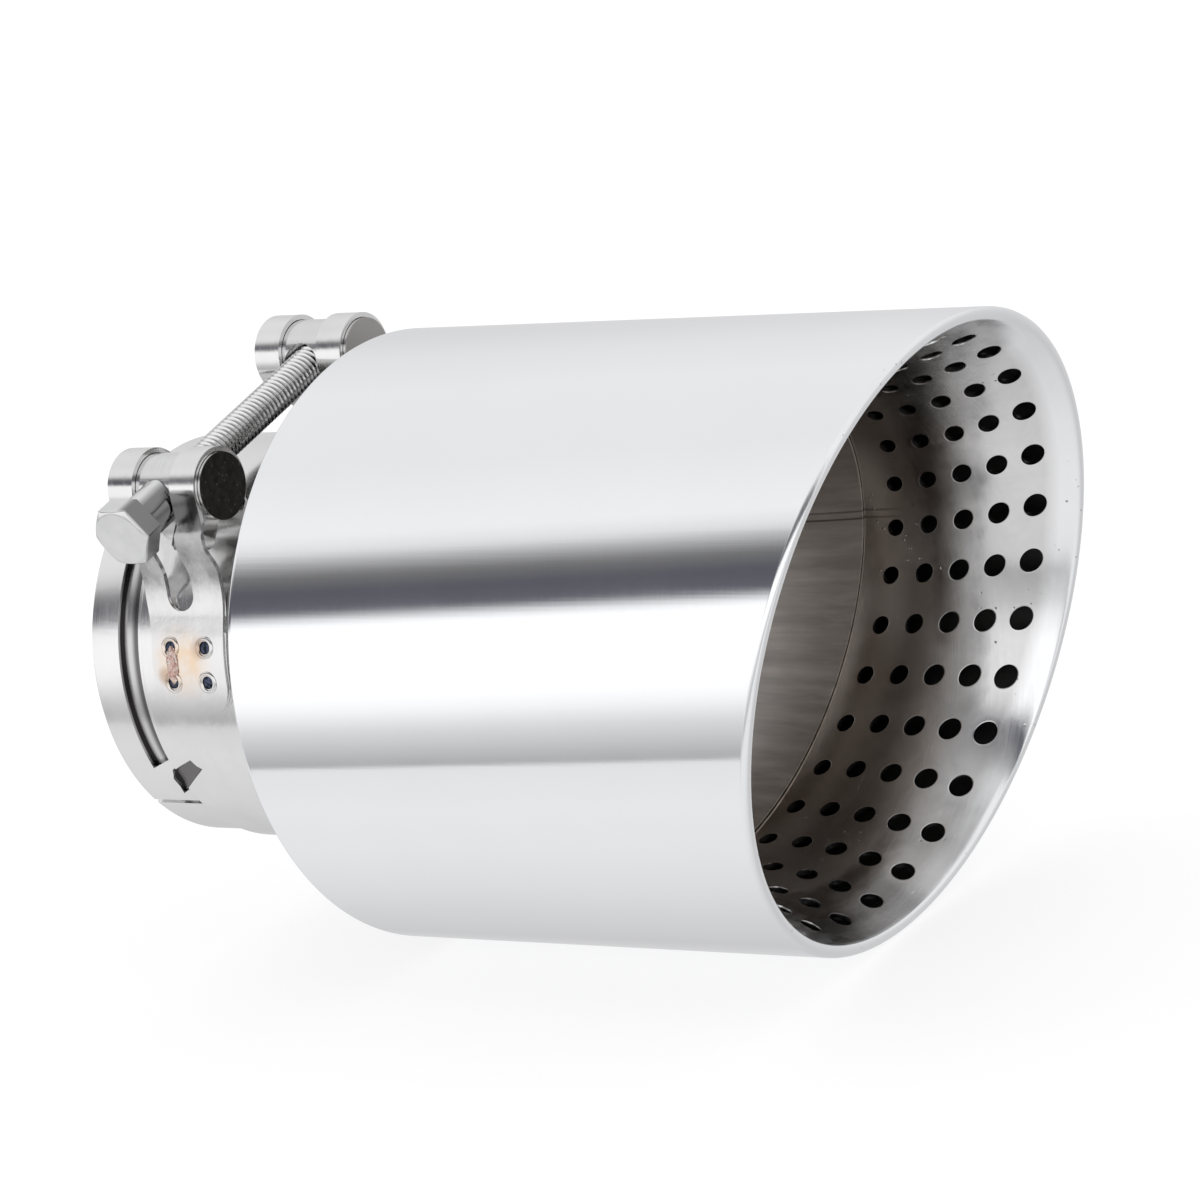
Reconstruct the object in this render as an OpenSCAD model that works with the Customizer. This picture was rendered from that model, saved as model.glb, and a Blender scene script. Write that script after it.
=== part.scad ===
// Double-wall exhaust tip: slanted polished shell, flared perforated liner, slotted inlet and bolted clamp.
// The tube's axis is X and the outlet faces +X. Z is up, with the outlet's longest side on top.
// The origin is the middle of the inlet's rear face.

/* [Shell] */
// Outside diameter of the polished shell
shell_d = 101.6; // [96:0.1:112]
// Sheet thickness of the shell
shell_wall = 1.0; // [0.8:0.1:1.4]
// Length from the inlet's rear face to the outlet's longest point
total_len = 160; // [150:1:200]
// Distance from the inlet's rear face to the shell's rear edge
shell_start = 45; // [40:1:55]
// Angle of the slanted outlet, measured from square
slant = 17; // [5:0.5:22]

/* [Inlet] */
// Bore of the inlet collar, which slips over the pipe
inlet_bore = 65; // [58:0.5:68]
// Wall of the inlet collar and of the inner tube
tube_wall = 1.5; // [1.2:0.1:2]
// Straight length of the collar past the rear plate's flange
collar_inside = 1.5; // [1:0.5:6]
// Length over which the collar widens to the inner tube
swage_len = 16; // [10:1:20]
// Place of the squeeze slot's rear edge
slot_x = 6; // [4:0.5:7]
// Width of the squeeze slot
slot_w = 4.5; // [3:0.5:5]
// Width of the lengthwise slit
slit_w = 1; // [0.6:0.1:2]
// Length of the lengthwise slit
slit_len = 30; // [20:1:34]
// Length of the torn window between the slot and the clamp
window_len = 9.3; // [7:0.1:10]
// Width of the torn window
window_w = 9.2; // [7:0.1:10]
// Sheet left behind the slot and the window
slot_floor = 0.4; // [0.3:0.1:0.6]

/* [Liner] */
// Inside diameter of the liner behind its flare
liner_d = 79.3; // [76:0.1:82]
// Sheet thickness of the liner
liner_wall = 1.0; // [0.8:0.1:1.2]
// Length of the flare behind the lip
flare_len = 34; // [32:1:38]
// How much steeper the flare's straight front part stands than the flare as a whole
flare_bow = 1.6; // [1.45:0.05:1.75]
// Length of the liner's straight rear collar
liner_tail = 5; // [4:0.5:7]
// Radius of the rolled lip
lip_r = 1.1; // [0.9:0.1:1.4]
// Number of holes in one row
hole_count = 30; // [24:1:32]
// Number of rows of holes
hole_rows = 5; // [3:1:5]
// Spacing of the rows, measured along the sheet
row_pitch = 6.35; // [5.5:0.05:6.5]
// Distance from the lip to the first row, measured along the sheet
row_margin = 6.9; // [5:0.1:7.2]
// How far the rearmost row runs askew to the lip
row_skew = 1.75; // [0:0.05:2]
// Turn of the hole pattern about the tube
hole_phase = 4; // [0:0.5:12]
// Further turn of the row next to the lip
hole_twist = 1.3; // [0:0.1:3]
// Hole diameter in the row next to the lip
hole_front_d = 4.0; // [3:0.1:4.4]
// Hole diameter in the rearmost row
hole_back_d = 3.0; // [2.4:0.1:3.6]

/* [Rear plate] */
// Sheet thickness of the rear plate
plate_t = 1.2; // [1:0.1:2]
// How far the rear plate is set in from the shell's edge
plate_inset = 1.5; // [1:0.5:4]
// Length of the rear plate's turned flanges
plate_flange = 4; // [3:0.5:6]
// Size of the weld between the rear plate and the collar
weld_r = 1.4; // [1:0.1:2]

/* [Clamp] */
// Width of the clamp's band
band_w = 19.8; // [18.4:0.1:20.4]
// Thickness of the clamp's band
band_t = 0.8; // [0.6:0.1:1]
// Place of the band's rear edge
band_x = 11.7; // [11.5:0.1:14]
// Place of the bolt along the tube
bolt_x = 21.2; // [20.6:0.1:21.8]
// Turn of the clamp about the tube, seen from the inlet
clamp_turn = 10.8; // [-30:0.1:30]
// Height of the bolt's axis above the tube's axis
bolt_h = 39.8; // [39:0.1:42]
// Distance from the clamp's middle to the near trunnion
near_pin_u = 17.6; // [16:0.1:22]
// Distance from the clamp's middle to the far trunnion
far_pin_u = 25.9; // [22:0.1:28]
// Diameter of the trunnions
pin_d = 11.2; // [10:0.1:11.5]
// Length of the trunnions
pin_len = 20.4; // [19:0.1:20.6]
// Width of the loops that are folded round the trunnions
loop_w = 18.9; // [17:0.1:19]
// Sheet thickness of the loop straps
strap_t = 0.8; // [0.8:0.1:1.2]
// Width of the slot's narrow rounded end
strap_slot_end_w = 5.7; // [4:0.1:6.5]
// How far the welded tail's rear edge is cut back from the band's edge
tail_cut = 4.1; // [3:0.1:4.4]
// Radius of the smooth bend between the welded tail and the outer leg
bend_r = 12; // [8:0.5:16]
// Diameter of the weld dimples
dimple_d = 2.6; // [2:0.1:3]
// Spacing of the weld dimples along the tube
dimple_gap = 7.5; // [6:0.1:9]
// Radius of the welded tail's corners
tail_corner_r = 5; // [3:0.5:6]

/* [Bolt] */
// Thread diameter of the bolt
bolt_d = 6; // [5:0.5:6]
// Width across flats of the bolt's head
head_af = 10; // [9:0.5:11]
// Height of the bolt's head
head_h = 4.2; // [3.5:0.1:5]
// Outside diameter of the spacer sleeve
sleeve_d = 7.6; // [7.2:0.1:7.8]
// Length of the spacer sleeve
sleeve_len = 8; // [6:0.5:12]
// Depth of the sleeve's seat in the near trunnion
seat_depth = 1.6; // [1:0.1:2]

/* [Hidden] */

fn_tube = 120;
fn_small = 48;
eps = 0.01;
// Clearance between sheets that lie on one another
seat_gap = 0.05;
// Clearance of pins and bolts in their holes
pin_gap = 0.1;

shell_r = shell_d / 2;
shell_in_r = shell_r - shell_wall;
collar_in_r = inlet_bore / 2;
collar_r = collar_in_r + tube_wall;
collar_len = shell_start + plate_inset + plate_flange + collar_inside;
window_x = slot_x + 0.58 * slot_w;
liner_r = liner_d / 2;
rise = tan(slant);
// Where the outlet's plane crosses the tube's axis
outlet_x = total_len - shell_r * rise;
// A length that reaches past the part from any side
beyond = 2 * total_len;

// The liner's flare is an arc that starts along the tube, then a cone that runs into the rolled lip
lip_mid_r = shell_r - lip_r;
flare_angle = flare_bow * atan((lip_mid_r - lip_r - liner_r) / flare_len);
cone_t = lip_r * (1 - sin(flare_angle));
cone_r = lip_mid_r - lip_r * cos(flare_angle);
flare_end_t = lip_r + flare_len;
flare_r = (tan(flare_angle) * (flare_end_t - cone_t) - (cone_r - liner_r)) / (1 / cos(flare_angle) - 1);
arc_t = flare_end_t - flare_r * sin(flare_angle);
cone_len = (arc_t - cone_t) / cos(flare_angle);
liner_end_t = flare_end_t + liner_tail;
fn_liner = 3 * hole_count;
flare_steps = 9;
lip_steps = 6;

tube_r = liner_r - 3 * seat_gap;
tube_in_r = tube_r - tube_wall;
tube_end_t = flare_end_t + 0.3 * liner_tail;

band_in_r = collar_r + seat_gap;
band_r = band_in_r + band_t;
leg_in_r = band_r + seat_gap;
tail_in_r = leg_in_r + strap_t + seat_gap;
tail_r = tail_in_r + strap_t;
pin_r = pin_d / 2;
loop_in_r = pin_r + pin_gap;
loop_mid_r = loop_in_r + strap_t / 2;
tail_w = band_w - tail_cut;
tail_mid_x = band_x + tail_cut + tail_w / 2;
strap_slot_w = sleeve_d + 6 * pin_gap;
// The band ends a little past the trunnions and leaves the gap that the bolt closes
band_end_lead = 10;

seat_u = near_pin_u + pin_r - seat_depth;
head_u = seat_u + sleeve_len;
bolt_tip_u = far_pin_u + pin_r;

// Turns a shape drawn about Z so that it lies along the tube
module along_tube() {
    rotate([0, 90, 0]) children();
}

// The space in front of a plane parallel to the outlet, t behind it along the tube
module ahead_of_outlet(t) {
    translate([outlet_x - t, 0, 0])
        rotate([0, slant, 0])
            translate([0, -beyond, -beyond])
                cube([2 * beyond, 2 * beyond, 2 * beyond]);
}

// A ring along the tube from x0 to x1
module ring(r_in, r_out, x0, x1) {
    translate([x0, 0, 0])
        along_tube()
            difference() {
                cylinder(r = r_out, h = x1 - x0, $fn = fn_tube);
                translate([0, 0, -1]) cylinder(r = r_in, h = x1 - x0 + 2, $fn = fn_tube);
            }
}

// A wedge about the tube from angle a0 to a1, counted from +Y towards +Z
module wedge(a0, a1, x0, x1) {
    reach = 100;
    mid = (a0 + a1) / 2;
    translate([x0, 0, 0])
        rotate([90, 0, 90])
            linear_extrude(height = x1 - x0)
                polygon([[0, 0], reach * [cos(a0), sin(a0)], 1.6 * reach * [cos(mid), sin(mid)],
                         reach * [cos(a1), sin(a1)]]);
}

// Stands a shape drawn with +X forward and +Z outward on the tube's side at angle a
module on_side(a, r) {
    rotate([a - 90, 0, 0]) translate([0, 0, r]) children();
}

// Shell: a tube with a softly rounded rear edge, cut along the outlet's slant behind the lip
module outer_shell() {
    edge = shell_wall / 2;
    color("silver")
        difference() {
            along_tube()
                rotate_extrude($fn = fn_tube) {
                    translate([shell_in_r, shell_start + edge]) square([shell_wall, total_len - shell_start]);
                    translate([shell_in_r + edge, shell_start + edge]) circle(r = edge, $fn = fn_small);
                }
            ahead_of_outlet(lip_r);
        }
}

// Liner: the flare as points (distance behind the outlet, radius), from the lip backwards
function flare_point(a, r_add) =
    [flare_end_t - (flare_r - r_add) * sin(a), liner_r + flare_r - (flare_r - r_add) * cos(a)];
function flare_inside() =
    [for (i = [0 : flare_steps]) flare_point(flare_angle * (1 - i / flare_steps), 0)];
function flare_outside() =
    [for (i = [0 : flare_steps]) flare_point(flare_angle * i / flare_steps, liner_wall)];
function lip_points() =
    [for (i = [0 : lip_steps]) let (a = 180 + flare_angle + (180 - flare_angle) * i / lip_steps)
        [lip_r + lip_r * sin(a), lip_mid_r + lip_r * cos(a)]];
function liner_profile() = concat(
    [[liner_end_t, liner_r]],
    [for (i = [flare_steps : -1 : 0]) flare_inside()[i]],
    lip_points(),
    [[lip_r, shell_in_r - seat_gap], [lip_r + liner_wall, shell_in_r - 2 * seat_gap]],
    [for (i = [flare_steps : -1 : 0]) flare_outside()[i]],
    [[liner_end_t, liner_r + liner_wall]]);
function outlet_point(t, r, a) = [outlet_x - t + rise * r * sin(a), r * cos(a), r * sin(a)];

// How far down the sheet a hole lies, from its row and its angle: the rows fan out from the lip's slant
function row_share(i) = i / (hole_rows - 1);
function sheet_s(i, a) = row_margin + i * row_pitch - row_skew * row_share(i) * sin(a + 35);
// The slope, the place behind the outlet and the radius of the sheet at a distance s from the lip
function sheet_a(s) = flare_angle - max(0, s - cone_len) / flare_r * 180 / PI;
function sheet_t(s) = flare_end_t - flare_r * sin(sheet_a(s)) - max(0, cone_len - s) * cos(flare_angle);
function sheet_r(s) = liner_r + flare_r * (1 - cos(sheet_a(s))) + max(0, cone_len - s) * sin(flare_angle);

// One hole, square to the sheet
module liner_hole(i, j) {
    a = hole_phase + hole_twist * (1 - row_share(i)) + 360 * j / hole_count;
    s = sheet_s(i, a);
    nx = -tan(sheet_a(s));
    ny = cos(a);
    nz = sin(a) - rise * nx;
    d = hole_front_d + (hole_back_d - hole_front_d) * row_share(i);
    translate(outlet_point(sheet_t(s), sheet_r(s), a))
        rotate([0, acos(nz / norm([nx, ny, nz])), atan2(ny, nx)])
            translate([0, 0, -2 * liner_wall])
                cylinder(d = d, h = 5 * liner_wall, $fn = 24);
}

module perforated_liner() {
    profile = liner_profile();
    n = len(profile);
    m = fn_liner;
    points = [for (j = [0 : m - 1]) for (p = profile) outlet_point(p[0], p[1], hole_phase + 360 * (j + 0.5) / m)];
    faces = [for (j = [0 : m - 1]) for (i = [0 : n - 1])
        [j * n + i, ((j + 1) % m) * n + i, ((j + 1) % m) * n + (i + 1) % n, j * n + (i + 1) % n]];
    color("gainsboro")
        difference() {
            polyhedron(points = points, faces = faces, convexity = 6);
            for (i = [0 : hole_rows - 1], j = [0 : hole_count - 1])
                liner_hole(i, j);
        }
}

// The torn-looking window where the collar and the band's edge have both been cut
module window_cut() {
    shape = [[0.15, 0.12], [0.83, 0.46], [1, 0.25], [0.36, -0.25], [0, -0.54], [0.03, -0.12]];
    difference() {
        on_side(203, collar_in_r - tube_wall)
            linear_extrude(height = 5 * tube_wall)
                polygon([for (p = shape) [window_x + p[0] * window_len, p[1] * window_w]]);
        slot_backing();
    }
}

// What stays solid behind the slot and the window
module slot_backing() {
    translate([-1, 0, 0])
        along_tube()
            cylinder(r = collar_in_r + slot_floor, h = shell_start, $fn = fn_tube);
}

// Inlet tube: slotted collar that widens to the inner tube, whose end follows the outlet's slant
module inlet_tube() {
    swage_x = collar_len + swage_len;
    color("lightgray")
        difference() {
            along_tube()
                rotate_extrude($fn = fn_tube)
                    polygon([[collar_in_r, 0], [collar_r, 0], [collar_r, collar_len], [tube_r, swage_x],
                             [tube_r, total_len], [tube_in_r, total_len], [tube_in_r, swage_x],
                             [collar_in_r, collar_len]]);
            ahead_of_outlet(tube_end_t);
            squeeze_slot();
            on_side(216, collar_in_r - 2)
                translate([-1, -slit_w / 2, 0]) cube([slit_len + 1, slit_w, tube_wall + 4]);
            window_cut();
        }
}

// The slot round the near side of the collar, with its lower end cut at a slant
module squeeze_slot() {
    slot_top = 128;
    slot_bottom = 199;
    difference() {
        intersection() {
            ring(collar_in_r + slot_floor, collar_r + 1, slot_x, slot_x + slot_w);
            wedge(slot_top, slot_bottom + 5, slot_x - 1, slot_x + slot_w + 1);
        }
        on_side(slot_bottom, collar_in_r - 3)
            translate([slot_x + slot_w / 2, 0, 0])
                rotate([0, 0, 24])
                    translate([-10, -20, 0]) cube([20, 20, tube_wall + 8]);
    }
}

// Rear plate: a pressed ring with a flange along the shell and one along the collar
module rear_plate() {
    r0 = collar_r + seat_gap;
    r1 = shell_in_r - seat_gap;
    x0 = shell_start + plate_inset;
    color("silver")
        along_tube()
            rotate_extrude($fn = fn_tube)
                polygon([[r0, x0 + plate_t], [r0 + plate_t, x0 + 0.3 * plate_t], [r0 + 2 * plate_t, x0],
                         [r1 - plate_t, x0], [r1, x0 + plate_t], [r1, x0 + plate_flange],
                         [r1 - plate_t, x0 + plate_flange], [r1 - plate_t, x0 + plate_t],
                         [r0 + plate_t, x0 + plate_t], [r0 + plate_t, x0 + plate_flange],
                         [r0, x0 + plate_flange]]);
}

// Weld all round between the collar and the rear plate
module collar_weld() {
    x1 = shell_start + plate_inset - seat_gap;
    r0 = collar_r + seat_gap;
    color("dimgray")
        along_tube()
            rotate_extrude($fn = fn_tube)
                intersection() {
                    translate([r0 + 0.2 * weld_r, x1 - 0.2 * weld_r]) circle(r = weld_r, $fn = fn_small);
                    translate([r0, x1 - 3 * weld_r]) square([3 * weld_r, 3 * weld_r]);
                }
}

// Places a shape in the clamp's frame: Y along the bolt away from its head, Z outward at the gap
module clamp_frame() {
    rotate([clamp_turn, 0, 0]) children();
}

// Angle at which a trunnion stands in the clamp's frame, and its distance from the tube's axis
function pin_angle(u) = atan2(bolt_h, -u);
function pin_dist(u) = norm([u, bolt_h]);
// Angle at which the strap's inner leg leaves the band for the trunnion
leg_mid_r = leg_in_r + strap_t / 2;
tail_mid_r = tail_in_r + strap_t / 2;
function leave_angle(u) = pin_angle(u) + acos((leg_mid_r + loop_mid_r) / pin_dist(u));

// Angles along the strap, counted from where its inner leg leaves the band
bend_lead = 11;
slot_lead = 10.3;
dimple_lead = [19.5, 28.6];
tail_lead = 37.3;
// The strap's blank is laid out square to this lead
blank_lead = 28;
function blank_v(lead) = tail_r * sin(blank_lead - lead);

// The outer leg's smooth bend, its direction, and where it starts and meets the loop, for a trunnion at -u
function bend_middle(u) = (tail_mid_r + bend_r) * [cos(leave_angle(u) + bend_lead), sin(leave_angle(u) + bend_lead)];
function to_pin(u) = [-u, bolt_h] - bend_middle(u);
function leg_angle(u) = atan2(to_pin(u)[1], to_pin(u)[0]) + asin((bend_r + loop_mid_r) / norm(to_pin(u)));
function leg_normal(u) = [-sin(leg_angle(u)), cos(leg_angle(u))];

// Points of an arc about a middle, each with its outward direction, every step degrees or less
function arc(middle, r, a0, a1, step, side = 1) = let (n = ceil(abs(a1 - a0) / step))
    [for (i = [0 : n]) let (a = a0 + (a1 - a0) * i / n, d = [cos(a), sin(a)]) [middle + r * d, side * d]];

// A strip of sheet along such points
module strip(path) {
    polygon(concat([for (p = path) p[0] + strap_t / 2 * p[1]], reversed([for (p = path) p[0] - strap_t / 2 * p[1]])));
}

// Side view of the outer half: welded tail, bend, outer leg and half the loop
module outer_half_view(u) {
    a_leave = leave_angle(u);
    up = leg_angle(u);
    strip(concat(
        arc([0, 0], tail_mid_r, a_leave + tail_lead, a_leave + bend_lead + 1, 2),
        arc(bend_middle(u), bend_r, a_leave + bend_lead - 180, up - 90, 4, -1),
        arc([-u, bolt_h], loop_mid_r, up + 90, 96, 8),
        arc([-u, bolt_h], loop_mid_r, 90, 84, 6)));
}

// Side view of the inner half: the layer on the band, the inner leg and half the loop
module inner_half_view(u) {
    a_leave = leave_angle(u);
    strip(concat(
        arc([0, 0], leg_mid_r, a_leave + tail_lead, a_leave, 2),
        arc([-u, bolt_h], loop_mid_r, a_leave - 180, 84, 8, -1),
        arc([-u, bolt_h], loop_mid_r, 90, 96, 6, -1)));
}

// A smooth step from 0 to 1, and points of an edge that steps from x0 to x1 between v0 and v1
function soft(k) = k * k * (3 - 2 * k);
function soft_edge(x0, v0, x1, v1) = [for (i = [0 : 6]) [x0 + (x1 - x0) * soft(i / 6), v0 + (v1 - v0) * i / 6]];
function reversed(list) = [for (i = [len(list) - 1 : -1 : 0]) list[i]];

// The outer half's blank, across the tube and up the leg, whose loop is at height top
module outer_blank(top) {
    end = blank_v(tail_lead + 2);
    side = strap_slot_end_w / 2;
    slot = blank_v(slot_lead) + side;
    waist = top - 0.8 * pin_d;
    loop = waist + 0.35 * pin_d;
    front = band_x + tail_cut + tail_w;
    rear = band_x + tail_cut;
    slot_mid = tail_mid_x - 0.08 * tail_w;
    half_loop = loop_w / 2;
    half_slot = strap_slot_w / 2;
    difference() {
        polygon(concat(
            [[rear, end], [front, end]],
            soft_edge(front, slot + 1.4 * side, bolt_x + 0.9 * half_loop, waist),
            soft_edge(bolt_x + 0.9 * half_loop, waist + 0.1 * pin_d, bolt_x + half_loop, loop),
            [[bolt_x + half_loop, top + 2 * pin_r], [bolt_x - half_loop, top + 2 * pin_r]],
            reversed(soft_edge(rear - 0.25 * tail_cut, slot + 1.7 * side, bolt_x - half_loop, loop)),
            reversed(soft_edge(rear, slot - 2.4 * side, rear - 0.25 * tail_cut, slot))));
        polygon(concat(
            [[slot_mid - side, slot], [slot_mid + side, slot]],
            soft_edge(slot_mid + side, slot + side, bolt_x + 0.63 * half_slot, waist),
            soft_edge(bolt_x + 0.63 * half_slot, waist + 0.1 * pin_d, bolt_x + half_slot, loop),
            [[bolt_x + half_slot, top + 3 * pin_r], [bolt_x - half_slot, top + 3 * pin_r]],
            reversed(soft_edge(slot_mid - side, slot + side, bolt_x - half_slot, waist + 0.27 * pin_d))));
        translate([slot_mid, slot]) circle(r = side, $fn = fn_small);
    }
}

// What rounds off one corner of the tail, which is half wide from its middle
module tail_corner(half) {
    difference() {
        translate([half - tail_corner_r, -tail_corner_r]) square(2 * tail_corner_r);
        translate([half - tail_corner_r, tail_corner_r]) circle(r = tail_corner_r, $fn = fn_small);
    }
}

// The inner half's blank, across the tube and up the leg, whose loop is at height top
module inner_blank(top) {
    front = band_x + band_w;
    rear = band_x + tail_cut;
    half_loop = loop_w / 2;
    half_slot = strap_slot_w / 2;
    arm = front - 0.25 * band_w;
    low = 0.36 * pin_d;
    difference() {
        polygon([[rear, -beyond], [front, -beyond], [front, top - 0.05 * pin_d],
                 [bolt_x + half_loop, top + 0.05 * pin_d], [bolt_x + half_loop, beyond],
                 [bolt_x - half_loop, beyond], [bolt_x - half_loop, top - 0.2 * pin_d], [rear, 0.75 * low]]);
        polygon([[bolt_x - half_slot, 1.25 * low], [bolt_x - 0.75 * half_slot, low], [arm - 0.25 * half_slot, low],
                 [arm, 1.25 * low], [arm, top - low], [bolt_x + half_slot, top - 0.1 * pin_d],
                 [bolt_x + half_slot, 2 * beyond], [bolt_x - half_slot, 2 * beyond]]);
    }
}

// A folded loop strap: slotted for the bolt, narrowed and rounded at its spot-welded tail
module loop_strap(u) {
    a_leave = leave_angle(u);
    pin = [-u, bolt_h];
    reach = 60;
    difference() {
        union() {
            intersection() {
                across_clamp() outer_half_view(u);
                on_side(a_leave + blank_lead, 0)
                    linear_extrude(height = reach)
                        outer_blank(pin[0] * sin(a_leave + blank_lead) - pin[1] * cos(a_leave + blank_lead));
            }
            intersection() {
                across_clamp() inner_half_view(u);
                on_side(a_leave, 0)
                    linear_extrude(height = reach)
                        inner_blank(pin[0] * sin(a_leave) - pin[1] * cos(a_leave));
            }
        }
        for (m = [0, 1])
            on_side(a_leave + blank_lead, leg_in_r - pin_r)
                linear_extrude(height = pin_d)
                    translate([tail_mid_x, blank_v(tail_lead)]) mirror([m, 0]) tail_corner(tail_w / 2);
        for (lead = dimple_lead, side = [-1, 1])
            on_side(a_leave + lead, tail_r - 0.5)
                translate([tail_mid_x + side * dimple_gap / 2, 0, 0])
                    cylinder(d1 = 0.5 * dimple_d, d2 = dimple_d, h = 0.55, $fn = 24);
    }
}

// Draws a side view of the clamp out along the tube
module across_clamp() {
    translate([band_x - 2, 0, 0])
        rotate([90, 0, 90])
            linear_extrude(height = band_w + 4) children();
}

module clamp_band() {
    a_near = pin_angle(near_pin_u) - band_end_lead;
    a_far = 180 - pin_angle(far_pin_u) - band_end_lead;
    color("silver")
        difference() {
            ring(band_in_r, band_r, band_x, band_x + band_w);
            clamp_frame() wedge(a_far, a_near, band_x - 1, band_x + band_w + 1);
            window_cut();
        }
}

module near_loop_strap() {
    color("gainsboro")
        clamp_frame() {
            loop_strap(near_pin_u);
            tack_bead();
        }
}

// Short weld between the two rear dimples of the near strap
module tack_bead() {
    a0 = leave_angle(near_pin_u) + dimple_lead[0];
    a1 = leave_angle(near_pin_u) + dimple_lead[1];
    for (i = [1 : 4])
        on_side(a0 + (a1 - a0) * i / 5, tail_r - 0.5)
            translate([tail_mid_x - dimple_gap / 2 + 0.3 * (i % 2), 0, 0])
                sphere(r = 1.05, $fn = 24);
}

module far_loop_strap() {
    color("gainsboro")
        clamp_frame()
            mirror([0, 1, 0]) loop_strap(far_pin_u);
}

// A trunnion across the clamp at u, with a cross hole for the bolt
module trunnion(u, hole_d) {
    difference() {
        translate([bolt_x - pin_len / 2, u, bolt_h]) along_tube() cylinder(d = pin_d, h = pin_len, $fn = fn_small);
        translate([bolt_x, u - pin_d, bolt_h])
            rotate([-90, 0, 0]) cylinder(d = hole_d, h = 2 * pin_d, $fn = fn_small);
    }
}

module near_trunnion() {
    color("dimgray")
        clamp_frame()
            difference() {
                trunnion(-near_pin_u, bolt_d + 4 * pin_gap);
                translate([bolt_x, -seat_u, bolt_h])
                    rotate([90, 0, 0]) cylinder(d = sleeve_d + 2 * pin_gap, h = pin_d, $fn = fn_small);
            }
}

module far_trunnion() {
    color("dimgray")
        clamp_frame()
            trunnion(far_pin_u, bolt_d + pin_gap);
}

module spacer_sleeve() {
    color("silver")
        clamp_frame()
            translate([bolt_x, -seat_u, bolt_h])
                rotate([90, 0, 0])
                    difference() {
                        cylinder(d = sleeve_d, h = sleeve_len - seat_gap, $fn = fn_small);
                        translate([0, 0, -1])
                            cylinder(d = bolt_d + 2 * pin_gap, h = sleeve_len + 2, $fn = fn_small);
                    }
}

// Hexagon bolt: chamfered head, shank through the sleeve and the near trunnion, end in the far trunnion
module clamp_bolt() {
    corner_d = head_af / cos(30);
    color("silver")
        clamp_frame()
            translate([bolt_x, -head_u, bolt_h])
                rotate([-90, 0, 0]) {
                    intersection() {
                        translate([0, 0, -head_h]) cylinder(d = corner_d, h = head_h, $fn = 6);
                        translate([0, 0, -head_h])
                            cylinder(d1 = 0.92 * head_af, d2 = 0.92 * head_af + 4 * head_h, h = head_h, $fn = fn_small);
                    }
                    cylinder(d = bolt_d, h = head_u + bolt_tip_u, $fn = fn_small);
                }
}

outer_shell();
perforated_liner();
inlet_tube();
rear_plate();
collar_weld();
clamp_band();
near_loop_strap();
far_loop_strap();
near_trunnion();
far_trunnion();
spacer_sleeve();
clamp_bolt();
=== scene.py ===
import math

import bpy
from mathutils import Matrix, Vector, noise


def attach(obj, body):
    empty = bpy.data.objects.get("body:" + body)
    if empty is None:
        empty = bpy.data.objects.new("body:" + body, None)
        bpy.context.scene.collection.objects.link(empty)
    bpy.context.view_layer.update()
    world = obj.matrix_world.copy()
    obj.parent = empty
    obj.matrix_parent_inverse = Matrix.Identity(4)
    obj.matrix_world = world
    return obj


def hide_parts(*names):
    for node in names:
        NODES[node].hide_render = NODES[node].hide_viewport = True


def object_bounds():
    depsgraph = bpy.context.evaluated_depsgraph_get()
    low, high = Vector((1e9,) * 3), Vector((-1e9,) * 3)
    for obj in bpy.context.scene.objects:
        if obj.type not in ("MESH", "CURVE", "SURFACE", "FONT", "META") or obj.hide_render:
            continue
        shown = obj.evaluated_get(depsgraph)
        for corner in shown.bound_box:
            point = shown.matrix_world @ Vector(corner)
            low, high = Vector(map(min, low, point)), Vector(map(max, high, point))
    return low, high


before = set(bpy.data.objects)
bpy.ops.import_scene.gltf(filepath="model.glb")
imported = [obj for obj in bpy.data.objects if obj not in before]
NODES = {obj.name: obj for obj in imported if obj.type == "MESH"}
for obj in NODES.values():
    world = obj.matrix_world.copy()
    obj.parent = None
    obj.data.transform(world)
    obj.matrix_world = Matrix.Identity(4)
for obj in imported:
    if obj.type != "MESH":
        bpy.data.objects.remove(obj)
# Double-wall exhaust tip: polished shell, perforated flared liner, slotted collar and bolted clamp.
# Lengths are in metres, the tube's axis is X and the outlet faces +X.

bl_info = {
    "name": "Exhaust tip",
    "version": (1, 0, 0),
    "blender": (4, 5, 0),
    "location": "View3D > Sidebar > Exhaust tip",
    "description": "Dresses the exhaust tip's solids with smooth sheet metal, thread, welds and finishes",
    "category": "Object",
}

MM = 0.001
START_LO, START_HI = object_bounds()


def length(name, description, value, low=0.0):
    """A size in metres that the panel shows in the scene's units."""
    return bpy.props.FloatProperty(name=name, description=description, default=value * MM, min=low,
                                   unit="LENGTH", subtype="DISTANCE", precision=4)


def angle(name, description, value):
    return bpy.props.FloatProperty(name=name, description=description, default=math.radians(value),
                                   unit="ROTATION", subtype="ANGLE")


def colour(name, description, value):
    return bpy.props.FloatVectorProperty(name=name, description=description, default=value, size=3,
                                         min=0.0, max=1.0, subtype="COLOR")


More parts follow.
